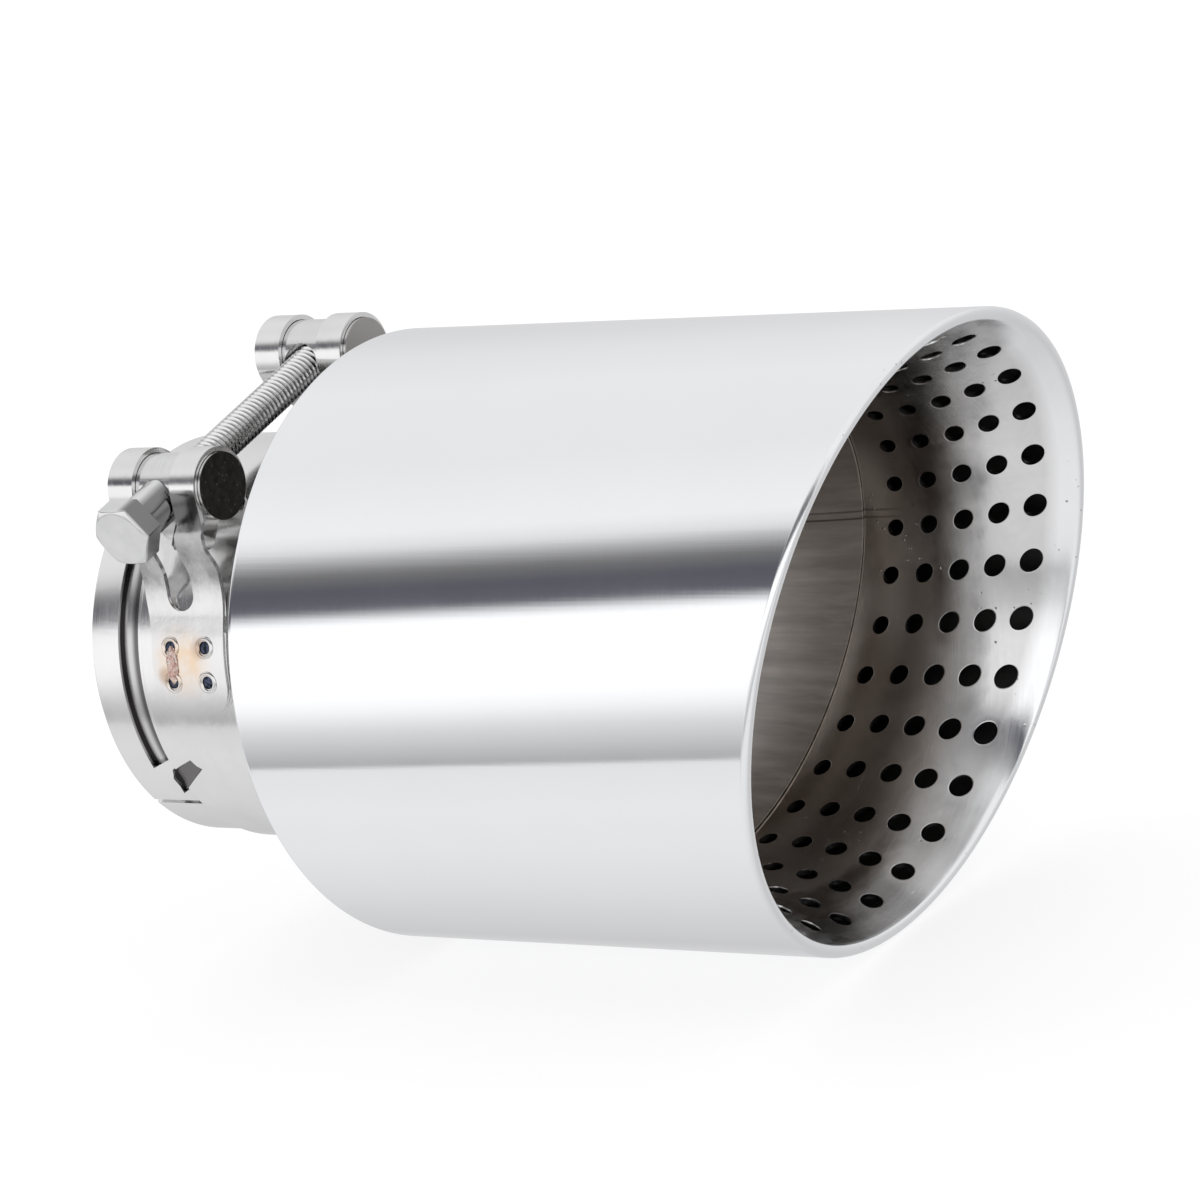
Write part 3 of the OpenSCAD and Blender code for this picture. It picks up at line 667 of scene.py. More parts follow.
class TIP_OT_finishes(bpy.types.Operator):
    """Makes the metals and dresses the carried-over solids"""
    bl_idname = "tip.finishes"
    bl_label = "Finishes"

    def execute(self, context):
        s, c, tints = context.scene.tip_sheet, context.scene.tip_clamp, context.scene.tip_finishes
        FINISH["shell"] = polished_shell(list(tints.polished), s)
        FINISH["liner"] = liner_steel(list(tints.liner), s)
        FINISH["tube"] = tube_steel(list(tints.inner), s)
        FINISH["plate"] = plate_steel(list(tints.bolt))
        FINISH["tack"] = tack_steel()
        FINISH["scorch"] = scorched_steel()
        FINISH["weld"] = weld_steel()
        FINISH["clamp"] = clamp_steel(list(tints.clamp), list(tints.straw), c)
        FINISH["trunnion"] = trunnion_steel(list(tints.bolt), list(tints.pin_end), list(tints.far_end), c)
        FINISH["bolt"] = bolt_steel(list(tints.bolt), c)
        dress = {
            "outer_shell": "shell", "perforated_liner": "liner", "inlet_tube": "tube",
            "rear_plate": "plate", "collar_weld": "weld", "clamp_band": "clamp", "near_loop_strap": "clamp",
            "far_loop_strap": "clamp", "near_trunnion": "trunnion", "far_trunnion": "trunnion",
            "spacer_sleeve": "bolt", "clamp_bolt": "bolt",
        }
        for node, finish in dress.items():
            NODES[node].data.materials.clear()
            NODES[node].data.materials.append(FINISH[finish])
        return {"FINISHED"}


class TIP_OT_shell(bpy.types.Operator):
    """Spins the polished shell and slants its front end"""
    bl_idname = "tip.shell"
    bl_label = "Polished shell"

    def execute(self, context):
        s = context.scene.tip_sheet
        rise = math.tan(s.slant)
        front = s.total_len - s.shell_r * rise - s.lip_r
        r_in = s.shell_r - s.shell_wall
        edge = s.shell_wall / 2
        rows = 14
        shares = [0.0, 0.003] + [i / rows for i in range(1, rows)] + [0.997, 1.0]
        outer = [(s.shell_start + edge + (front - s.shell_start - edge) * k, s.shell_r) for k in shares]
        inner = [(x, r_in) for x, r in reversed(outer)]
        nose = [(s.shell_start + edge - edge * math.sin(a), s.shell_r - edge - edge * math.cos(a))
                for a in (math.pi * i / 8 for i in range(1, 8))]
        shell = spun("polished_shell", outer + inner + nose, 256)
        reach = front - s.shell_start - edge
        for v in shell.data.vertices:
            share = max(0.0, (v.co.x - s.shell_start - edge) / reach)
            v.co.x += share * rise * v.co.z
        smooth(shell, 40)
        finished(shell, FINISH["shell"], replaces=("outer_shell",))
        return {"FINISHED"}


def flare_angle(s):
    return s.flare_bow * math.atan((s.shell_r - 2 * s.lip_r - s.liner_r) / s.flare_len)


def flare_place(s, d):
    """Distance behind the outlet and radius at the distance d along the liner's sheet from its lip."""
    flare = flare_angle(s)
    t_lip = s.lip_r * (1 - math.sin(flare))
    r_lip = s.shell_r - s.lip_r - s.lip_r * math.cos(flare)
    end_t = s.lip_r + s.flare_len
    arc_r = (math.tan(flare) * (end_t - t_lip) - (r_lip - s.liner_r)) / (1 / math.cos(flare) - 1)
    cone = (end_t - arc_r * math.sin(flare) - t_lip) / math.cos(flare)
    arc = arc_r * flare
    if d < 0:
        a = math.pi + flare - d / s.lip_r
        a = min(a, 2 * math.pi)
        return s.lip_r * (1 + math.sin(a)), s.shell_r - s.lip_r + s.lip_r * math.cos(a)
    if d < cone:
        return t_lip + d * math.cos(flare), r_lip - d * math.sin(flare)
    if d < cone + arc:
        a = flare - (d - cone) / arc_r
        return end_t - arc_r * math.sin(a), s.liner_r + arc_r * (1 - math.cos(a))
    return end_t + d - cone - arc, s.liner_r


class TIP_OT_liner(bpy.types.Operator):
    """Punches a flat sheet hole by hole and rolls it into the flared liner"""
    bl_idname = "tip.liner"
    bl_label = "Perforated liner"

    def execute(self, context):
        s = context.scene.tip_sheet
        cell = 9.0 * MM
        turn = 2 * math.pi / s.hole_count
        strips = []
        for row in range(s.hole_rows):
            mid = s.row_margin + row * s.row_pitch
            radius = flare_place(s, mid)[1]
            hole_r = (s.hole_front_d + (s.hole_back_d - s.hole_front_d) * row / (s.hole_rows - 1)) / 2
            widen = cell / (turn * radius)
            deselect()
            bpy.ops.mesh.primitive_circle_add(vertices=32, radius=hole_r, fill_type="NOTHING")
            tile = bpy.context.object
            tile.location = (mid, 0, 0)
            in_edit(tile)
            bpy.ops.transform.resize(value=(1, widen, 1))
            for grow in (1.10, 1.18, 1.18):
                bpy.ops.mesh.extrude_region_move()
                bpy.ops.transform.resize(value=(grow, grow, 1))
            bpy.ops.mesh.extrude_region_move()
            bpy.ops.object.mode_set(mode="OBJECT")
            for v in tile.data.vertices:
                if v.select:
                    p = Vector((v.co.x, v.co.y / widen, 0)).normalized()
                    k = max(abs(p.x), abs(p.y))
                    v.co = Vector((p.x / k * s.row_pitch / 2, p.y / k * cell / 2, 0))
            modified(tile, "ARRAY", count=s.hole_count, use_relative_offset=False,
                     use_constant_offset=True, constant_offset_displace=(0, cell, 0),
                     use_merge_vertices=True, merge_threshold=0.00001)
            strips.append(tile)
        sheet = joined(strips, "perforated_sheet")
        in_edit(sheet)
        bpy.ops.mesh.remove_doubles(threshold=0.00001)
        bpy.ops.object.mode_set(mode="OBJECT")

        low = s.row_margin - s.row_pitch / 2
        high = s.row_margin + (s.hole_rows - 0.5) * s.row_pitch
        self.grow_edge(sheet, low, [-low / 5] * 5 + [-(math.pi - flare_angle(s)) * s.lip_r / 10] * 10)
        end_t = s.lip_r + s.flare_len + s.liner_tail
        tail = 0.0
        while flare_place(s, high + tail)[0] < end_t:
            tail += 0.1 * MM
        self.grow_edge(sheet, high, [tail / 5] * 5)

        outlet_x = s.total_len - s.shell_r * math.tan(s.slant)
        last = s.row_margin + (s.hole_rows - 1) * s.row_pitch
        for v in sheet.data.vertices:
            share = min(1.0, max(0.0, (v.co.x - s.row_margin) / (last - s.row_margin)))
            a = v.co.y / cell * turn + s.hole_phase + s.hole_twist * (1 - share)
            share *= min(1.0, max(0.0, (high + tail - v.co.x) / (high + tail - last - s.hole_back_d / 2)))
            t, r = flare_place(s, v.co.x - s.row_skew * share * math.sin(a + math.radians(35)))
            z = r * math.sin(a)
            v.co = Vector((outlet_x - t + math.tan(s.slant) * z, r * math.cos(a), z))
        in_edit(sheet)
        bpy.ops.mesh.remove_doubles(threshold=0.00001)
        bpy.ops.mesh.normals_make_consistent(inside=False)
        bpy.ops.object.mode_set(mode="OBJECT")
        tail_face = max(sheet.data.polygons, key=lambda f: math.tan(s.slant) * f.center.z - f.center.x)
        if tail_face.normal.dot(Vector((0, tail_face.center.y, tail_face.center.z))) > 0:
            in_edit(sheet)
            bpy.ops.mesh.flip_normals()
            bpy.ops.object.mode_set(mode="OBJECT")
        modified(sheet, "SOLIDIFY", thickness=s.liner_wall, offset=-1.0, use_even_offset=False)
        modified(sheet, "BEVEL", width=0.16 * MM, segments=2, limit_method="ANGLE",
                 angle_limit=math.radians(50))
        smooth(sheet, 40)
        finished(sheet, FINISH["liner"], replaces=("perforated_liner",))
        return {"FINISHED"}

    def grow_edge(self, sheet, at, steps):
        """Extrudes the sheet's straight edge at x in steps along x."""
        pick(sheet, lambda p: abs(p.x - at) < 0.00001)
        for step in steps:
            bpy.ops.mesh.extrude_region_move(TRANSFORM_OT_translate={"value": (step, 0, 0)})
        bpy.ops.object.mode_set(mode="OBJECT")


class TIP_OT_tube(bpy.types.Operator):
    """Spins the slotted inlet tube, the rear plate and the weld between them"""
    bl_idname = "tip.tube"
    bl_label = "Inlet tube and rear plate"

    def execute(self, context):
        s = context.scene.tip_sheet
        r_in = s.collar_r - s.tube_wall
        big = s.liner_r - 0.15 * MM
        swage = s.collar_len + s.swage_len
        outlet_x = s.total_len - s.shell_r * math.tan(s.slant)
        end = outlet_x - s.lip_r - s.flare_len - 0.3 * s.liner_tail
        ease = [(s.collar_len + s.swage_len * k, s.collar_r + (big - s.collar_r) * (k * k * (3 - 2 * k)))
                for k in (i / 12 for i in range(13))]
        shares = (0.05, 0.5, 0.58, 0.66, 0.74, 0.82, 0.9, 0.97, 1.0)
        outer = [(0.35 * MM, s.collar_r)] + ease + [(swage + (end - swage) * k, big) for k in shares]
        thin = lambda x: min(1.0, max(0.0, (x - swage) / (end - swage) * 2.2 - 1.2))
        inner = [(x, r - s.tube_wall + (s.tube_wall - 0.3 * MM) * thin(x) ** 2) for x, r in reversed(outer)]
        rim = [(0.1 * MM, r_in + 0.1 * MM), (0.0, r_in + 0.35 * MM), (0.0, s.collar_r - 0.35 * MM),
               (0.1 * MM, s.collar_r - 0.1 * MM)]
        tube = spun("slotted_inlet_tube", outer + inner + rim, 192)
        for v in tube.data.vertices:
            share = max(0.0, (v.co.x - swage) / (end - swage))
            v.co.x += share * math.tan(s.slant) * v.co.z
        floor_r = r_in + s.slot_floor
        slot = self.arc_cutter(s, floor_r)
        window = window_cutter(s, floor_r)
        sides = [(-MM, -s.slit_w / 2, 0), (s.slit_len, -s.slit_w / 2, 0),
                 (s.slit_len, s.slit_w / 2, 0), (-MM, s.slit_w / 2, 0)]
        slit = prism("slit_cutter", sides, Vector((0, 0, 6 * MM)))
        turned(slit, on_side(216, s.collar_r - 4 * MM))
        cut(tube, slot, window, slit)
        eased(tube, 0.14, 2, 50)
        finished(tube, FINISH["tube"], replaces=("inlet_tube",))
        self.plate(s)
        return {"FINISHED"}

    def arc_cutter(self, s, floor_r):
        """The squeeze slot round the near side, its lower end cut at a slant."""
        top, low = math.radians(128), math.radians(199)
        deselect()
        outside = s.collar_r + 2 * MM
        ends = [(s.slot_x, floor_r), (s.slot_x + s.slot_w, floor_r), (s.slot_x + s.slot_w, outside),
                (s.slot_x, outside)]
        obj = drawn([(x, r * math.cos(top), r * math.sin(top)) for x, r in ends])
        in_edit(obj)
        bpy.ops.mesh.edge_face_add()
        bpy.ops.mesh.spin(steps=36, angle=top - low, center=(0, 0, 0), axis=(1, 0, 0))
        bpy.ops.object.mode_set(mode="OBJECT")
        for v in obj.data.vertices:
            a = math.atan2(v.co.z, v.co.y) % (2 * math.pi)
            if abs(a - low) < 0.001:
                lean = (s.slot_x + s.slot_w / 2 - v.co.x) * math.tan(math.radians(24)) / s.collar_r
                r = math.hypot(v.co.y, v.co.z)
                v.co = Vector((v.co.x, r * math.cos(low + lean), r * math.sin(low + lean)))
        outward(obj)
        return settle(obj, "slot_cutter")

    def plate(self, s):
        """The pressed rear plate and the rippled weld round the collar."""
        r0, r1 = s.collar_r + 0.05 * MM, s.shell_r - s.shell_wall - 0.05 * MM
        x0, t, flange = s.shell_start + 1.5 * MM, 1.2 * MM, 4 * MM
        bends = 6
        quarter = [math.pi / 2 * i / bends for i in range(bends + 1)]
        b = 2 * t
        outer = [(x0 + flange, r0)]
        outer += [(x0 + b - b * math.sin(q), r0 + b - b * math.cos(q)) for q in quarter]
        outer += [(x0 + b - b * math.cos(q), r1 - b + b * math.sin(q)) for q in quarter]
        outer += [(x0 + flange, r1)]
        inner = [(x0 + flange, r1 - t)]
        inner += [(x0 + b - t * math.cos(q), r1 - b + t * math.sin(q)) for q in reversed(quarter)]
        inner += [(x0 + b - t * math.sin(q), r0 + b - t * math.cos(q)) for q in reversed(quarter)]
        inner += [(x0 + flange, r0 + t)]
        plate = spun("pressed_rear_plate", outer + inner, 160)
        smooth(plate, 35)
        finished(plate, FINISH["plate"], replaces=("rear_plate",))
        arc = [math.pi / 2 * i / 7 for i in range(8)]
        throat, foot = 1.55 * MM, x0 - 0.02 * MM
        bead = [(foot, r0)] + [(foot - throat * math.cos(q), r0 + throat * math.sin(q)) for q in arc]
        weld = spun("collar_weld_bead", bead, 300)
        for v in weld.data.vertices:
            a = math.atan2(v.co.z, v.co.y)
            r = math.hypot(v.co.y, v.co.z)
            high = min(1.0, max(0.0, (r - r0) / MM) + max(0.0, (x0 - v.co.x) / MM - 0.3))
            ripple = math.sin(62 * a + 1.5 * math.sin(5 * a)) + 0.4 * math.sin(23 * a + 1)
            v.co.x = min(foot, v.co.x - 0.10 * MM * high * ripple)
        smooth(weld, 60)
        finished(weld, FINISH["weld"], replaces=("collar_weld",))


def window_cutter(s, floor_r):
    """What tears the window into the collar and the band's edge."""
    x0 = s.slot_x + 0.58 * s.slot_w
    shape = ((0.15, 0.12), (0.5, 0.31), (0.83, 0.46), (0.9, 0.33), (1, 0.25), (0.7, 0.02), (0.36, -0.25),
             (0.2, -0.42), (0, -0.54), (0.05, -0.33), (0.03, -0.12), (0.1, 0.0))
    window = prism("window_cutter", [(x0 + x * s.window_len, y * s.window_w, 0) for x, y in shape],
                   Vector((0, 0, 8 * MM)))
    return turned(window, on_side(203, floor_r))


def clamp_frame(c, side=1):
    """The clamp's frame: Y along the bolt, Z outward at the gap; side -1 mirrors it to the far trunnion."""
    frame_turn = Matrix.Rotation(c.turn, 4, "X")
    return frame_turn @ Matrix.Diagonal((1, side, 1, 1))


class StrapPath:
    """A folded strap's mid-line, from its welded tail round the trunnion to the layer on the band."""

    def __init__(self, s, c, u):
        gap = 0.05 * MM
        self.c = c
        self.tail_in = s.collar_r + 3 * gap + c.band_t + c.strap_t
        self.tail_mid = self.tail_in + c.strap_t / 2
        self.leg_mid = self.tail_in - gap - c.strap_t / 2
        loop = c.pin_d / 2 + 0.1 * MM + c.strap_t / 2
        self.pin = Vector((-u, c.bolt_h))
        self.leave = math.atan2(c.bolt_h, -u) + math.acos((self.leg_mid + loop) / self.pin.length)
        lead = math.radians
        bend = self.leave + lead(11)
        middle = (self.tail_mid + c.bend_r) * self.way(bend)
        to_pin = self.pin - middle
        self.up = math.atan2(to_pin.y, to_pin.x) + math.asin((c.bend_r + loop) / to_pin.length)
        self.points = []
        self.arc(Vector((0, 0)), self.tail_mid, self.leave + lead(37.3), bend, 48)
        self.arc(middle, c.bend_r, bend - math.pi, self.up - math.pi / 2, 16)
        self.bar(16)
        self.arc(self.pin, loop, self.up + math.pi / 2, self.leave - math.pi, 34)
        self.bar(16)
        self.arc(Vector((0, 0)), self.leg_mid, self.leave, self.leave + lead(37.3), 36)
        for turn in range(60):
            fixed = list(self.points)
            for i in range(34, 66):
                blend = 0.5 * min(1.0, (i - 33) / 6, (66 - i) / 6)
                between = (fixed[i - 1] + fixed[i + 1]) / 2
                self.points[i] = fixed[i].lerp(between, blend)
        self.run = [0.0]
        for p, q in zip(self.points, self.points[1:]):
            self.run.append(self.run[-1] + (q - p).length)
        self.top = next(i for i, p in enumerate(self.points)
                        if (p - self.pin).length < loop * 1.01 and p.y > self.pin.y
                        and abs(p.x - self.pin.x) < loop * 0.12)
        self.bars()

    def way(self, a):
        return Vector((math.cos(a), math.sin(a)))

    def arc(self, middle, r, a0, a1, steps):
        """Adds an arc's points, and before them those of a straight stretch that leads to it."""
        path = [middle + r * self.way(a0 + (a1 - a0) * i / steps) for i in range(steps + 1)]
        if self.points and isinstance(self.points[-1], int):
            count = self.points.pop()
            p, q = self.points[-1], path[0]
            self.points += [p.lerp(q, i / count) for i in range(1, count)]
        meets = self.points and (self.points[-1] - path[0]).length < 0.001 * MM
        self.points += path[1:] if meets else path

    def bar(self, count):
        """A straight stretch, filled in once the next arc is known."""
        self.points.append(count)

    def bars(self):
        """Each station's edges: rear, slot's rear, slot's front and front, or no slot."""
        c = self.c
        soft = lambda k: (lambda t: t * t * (3 - 2 * t))(min(1.0, max(0.0, k)))
        step = lambda v, x0, v0, x1, v1: x0 + (x1 - x0) * soft((v - v0) / (v1 - v0))
        tail_w = c.band_w - c.tail_cut
        front, rear = c.band_x + c.band_w, c.band_x + c.tail_cut
        mid = rear + tail_w / 2 - 0.08 * tail_w
        half_loop, half_slot, side = c.loop_w / 2, (c.sleeve_d + 0.6 * MM) / 2, c.slot_end_w / 2
        across = self.way(self.leave + math.radians(28) - math.pi / 2)
        inner = self.way(self.leave - math.pi / 2)
        height = lambda lead: (self.tail_mid + c.strap_t / 2) * math.sin(math.radians(28 - lead))
        end, slot = height(37.3), height(10.3) + side
        waist = self.pin.dot(across) - 0.8 * c.pin_d
        loop = waist + 0.35 * c.pin_d
        top2, low = self.pin.dot(inner), 0.36 * c.pin_d
        arm = front - 0.25 * c.band_w
        self.edges = []
        for i, p in enumerate(self.points):
            v, w = p.dot(across), p.dot(inner)
            if i <= self.top:
                f = step(v, front, slot + 1.4 * side, c.bolt_x + 0.9 * half_loop, waist)
                if v > waist:
                    f = step(v, f, waist + 0.1 * c.pin_d, c.bolt_x + half_loop, loop)
                r = step(v, rear, slot - 2.4 * side, rear - 0.25 * c.tail_cut, slot)
                if v > slot:
                    r = step(v, r, slot + 1.7 * side, c.bolt_x - half_loop, loop)
                hole = None
                if v > slot - side:
                    wide = math.sqrt(max(0.0, side ** 2 - max(0.0, slot - v) ** 2))
                    a = step(v, mid - wide, slot + side, c.bolt_x - half_slot, waist + 0.27 * c.pin_d)
                    b = step(v, mid + wide, slot + side, c.bolt_x + 0.63 * half_slot, waist)
                    if v > waist:
                        b = step(v, b, waist + 0.1 * c.pin_d, c.bolt_x + half_slot, loop)
                    hole = (a, b)
            else:
                f = front if w < top2 - 0.05 * c.pin_d else c.bolt_x + half_loop
                k = (w - 0.75 * low) / (top2 - 0.2 * c.pin_d - 0.75 * low)
                r = rear + (c.bolt_x - half_loop - rear) * min(1.0, max(0.0, k))
                hole = None
                if w > low:
                    k = min(1.0, (w - low) / (0.25 * low))
                    a = c.bolt_x - (0.75 + 0.25 * k) * half_slot
                    b = arm - 0.25 * half_slot * (1 - k)
                    if w > top2 - low:
                        k = min(1.0, (w - top2 + low) / (low - 0.1 * c.pin_d))
                        b = arm + (c.bolt_x + half_slot - arm) * k
                    hole = (a, b)
            deep = c.tail_corner_r - (v - end)
            if deep > 0 and (i < 60 or i > len(self.points) - 40):
                corner = c.tail_corner_r
                turn_in = corner - math.sqrt(corner ** 2 - min(deep, corner) ** 2)
                f, r = f - turn_in, r + turn_in
            self.edges.append((r, f, hole))

    def at(self, run):
        """The point at a length along the strap."""
        past = next((k for k, v in enumerate(self.run) if v > run), len(self.run))
        i = max(0, min(len(self.run) - 2, past - 1))
        k = (run - self.run[i]) / (self.run[i + 1] - self.run[i])
        return self.points[i].lerp(self.points[i + 1], k)


class TIP_OT_straps(bpy.types.Operator):
    """Cuts two flat blanks, folds them round the trunnions and adds their spot welds"""
    bl_idname = "tip.straps"
    bl_label = "Loop straps"

    def execute(self, context):
        s, c = context.scene.tip_sheet, context.scene.tip_clamp
        for name, u, side, node in (("near_folded_strap", c.near_pin_u, 1, "near_loop_strap"),
                                    ("far_folded_strap", c.far_pin_u, -1, "far_loop_strap")):
            path = StrapPath(s, c, u)
            strap = self.folded(name, path, c, side)
            rims = self.craters(path, c, side)
            floors = joined(rims[1::2], name + "_burnt_dimples")
            piece = joined([strap] + rims[::2], name)
            finished(piece, FINISH["clamp"], replaces=(node,))
            finished(floors, FINISH["scorch"])
            if side == 1:
                self.bead(path, c)
        return {"FINISHED"}

    def folded(self, name, path, c, side):
        """A flat blank with its slot and dimples cut out, laid along the path and given its thickness."""
        rim = [(f, run) for (r, f, h), run in zip(path.edges, path.run)]
        rim += [(r, run) for (r, f, h), run in zip(reversed(path.edges), reversed(path.run))]
        held = [(h, run) for (r, f, h), run in zip(path.edges, path.run) if h and h[1] - h[0] > 0.0002]
        slot = [(h[1], run) for h, run in held] + [(h[0], run) for h, run in reversed(held)]
        loops = [drawn([(x, y, 0) for x, y in rim]), drawn([(x, y, 0) for x, y in slot])]
        for x, run in self.dimples(path, c):
            deselect()
            bpy.ops.mesh.primitive_circle_add(vertices=24, radius=0.46 * c.dimple_d, fill_type="NOTHING",
                                              location=(x, run, 0))
            loops.append(bpy.context.object)
        blank = joined(loops, name)
        in_edit(blank)
        bpy.ops.mesh.remove_doubles(threshold=0.000002)
        bpy.ops.mesh.fill(use_beauty=True)
        for run in path.run[1:-1]:
            bpy.ops.mesh.select_all(action="SELECT")
            bpy.ops.mesh.bisect(plane_co=(0, run, 0), plane_no=(0, 1, 0), threshold=0.000001)
        bpy.ops.object.mode_set(mode="OBJECT")
        for v in blank.data.vertices:
            p = path.at(v.co.y)
            v.co = Vector((v.co.x, p.x, p.y))
        in_edit(blank)
        bpy.ops.mesh.remove_doubles(threshold=0.000002)
        bpy.ops.mesh.dissolve_limited(angle_limit=math.radians(0.3), use_dissolve_boundaries=False)
        bpy.ops.mesh.select_all(action="SELECT")
        bpy.ops.mesh.normals_make_consistent(inside=False)
        bpy.ops.object.mode_set(mode="OBJECT")
        modified(blank, "SOLIDIFY", thickness=c.strap_t, offset=0.0)
        turned(blank, clamp_frame(c, side))
        outward(blank)
        eased(blank, 0.16, 2, 50)
        return blank

    def dimples(self, path, c):
        mid = c.band_x + c.tail_cut + (c.band_w - c.tail_cut) / 2
        for lead in (19.5, 28.6):
            for way in (-1, 1):
                yield mid + way * c.dimple_gap / 2, math.radians(37.3 - lead) * path.tail_mid

    def craters(self, path, c, side):
        """Raised rims round the weld dimples, each sunk in the middle."""
        made = []
        for x, run in self.dimples(path, c):
            deselect()
            bpy.ops.mesh.primitive_circle_add(vertices=32, radius=0.70 * c.dimple_d, fill_type="NOTHING")
            rim = bpy.context.object
            in_edit(rim)
            for grow, rise in ((0.94, 0.09), (0.90, 0.10), (0.88, -0.03), (0.84, -0.18)):
                bpy.ops.mesh.extrude_region_move(TRANSFORM_OT_translate={"value": (0, 0, rise * MM)})
                bpy.ops.transform.resize(value=(grow, grow, 1))
            bpy.ops.object.mode_set(mode="OBJECT")
            modified(rim, "SOLIDIFY", thickness=0.12 * MM, offset=-1.0)
            bpy.ops.mesh.primitive_uv_sphere_add(segments=32, ring_count=12, radius=0.47 * c.dimple_d,
                                                 location=(0, 0, -0.16 * MM))
            floor = settle(bpy.context.object, "burnt_floor")
            for v in floor.data.vertices:
                flat = v.co.z + 0.16 * MM
                rough = 0.07 * MM * noise.noise(v.co * 1600 + Vector((x, run, 0)) * 900)
                v.co.z = 0.22 * flat - 0.22 * MM + rough
            lead = math.degrees(path.leave + math.radians(37.3) - run / path.tail_mid)
            for part in (rim, floor):
                turned(part, clamp_frame(c, side) @ on_side(lead, path.tail_in + c.strap_t - 0.04 * MM, x))
                outward(part)
                smooth(part, 60)
                made.append(part)
        return made

    def bead(self, path, c):
        """The short rough weld between the near strap's two rear dimples."""
        spots = [d for d in self.dimples(path, c)][::2]
        x = spots[0][0]
        run = (spots[0][1] + spots[1][1]) / 2
        deselect()
        bpy.ops.mesh.primitive_ico_sphere_add(subdivisions=5, radius=1.0)
        bead = bpy.context.object
        for v in bead.data.vertices:
            d = v.co.normalized()
            waves = ((0.16, 2.6), (0.10, 7.0), (0.05, 15.0))
            rough = 1 + sum(k * noise.noise(d * scale) for k, scale in waves)
            v.co = Vector((d.x * 1.15 * rough, d.y * 3.0 * rough, d.z * 0.72 * rough)) * MM
        lead = math.degrees(path.leave + math.radians(37.3) - run / path.tail_mid)
        turned(bead, clamp_frame(c) @ on_side(lead, path.tail_in + c.strap_t - 0.06 * MM, x + 0.3 * MM))
        bead.name = "tack_weld"
        smooth(bead, 80)
        finished(bead, FINISH["tack"])


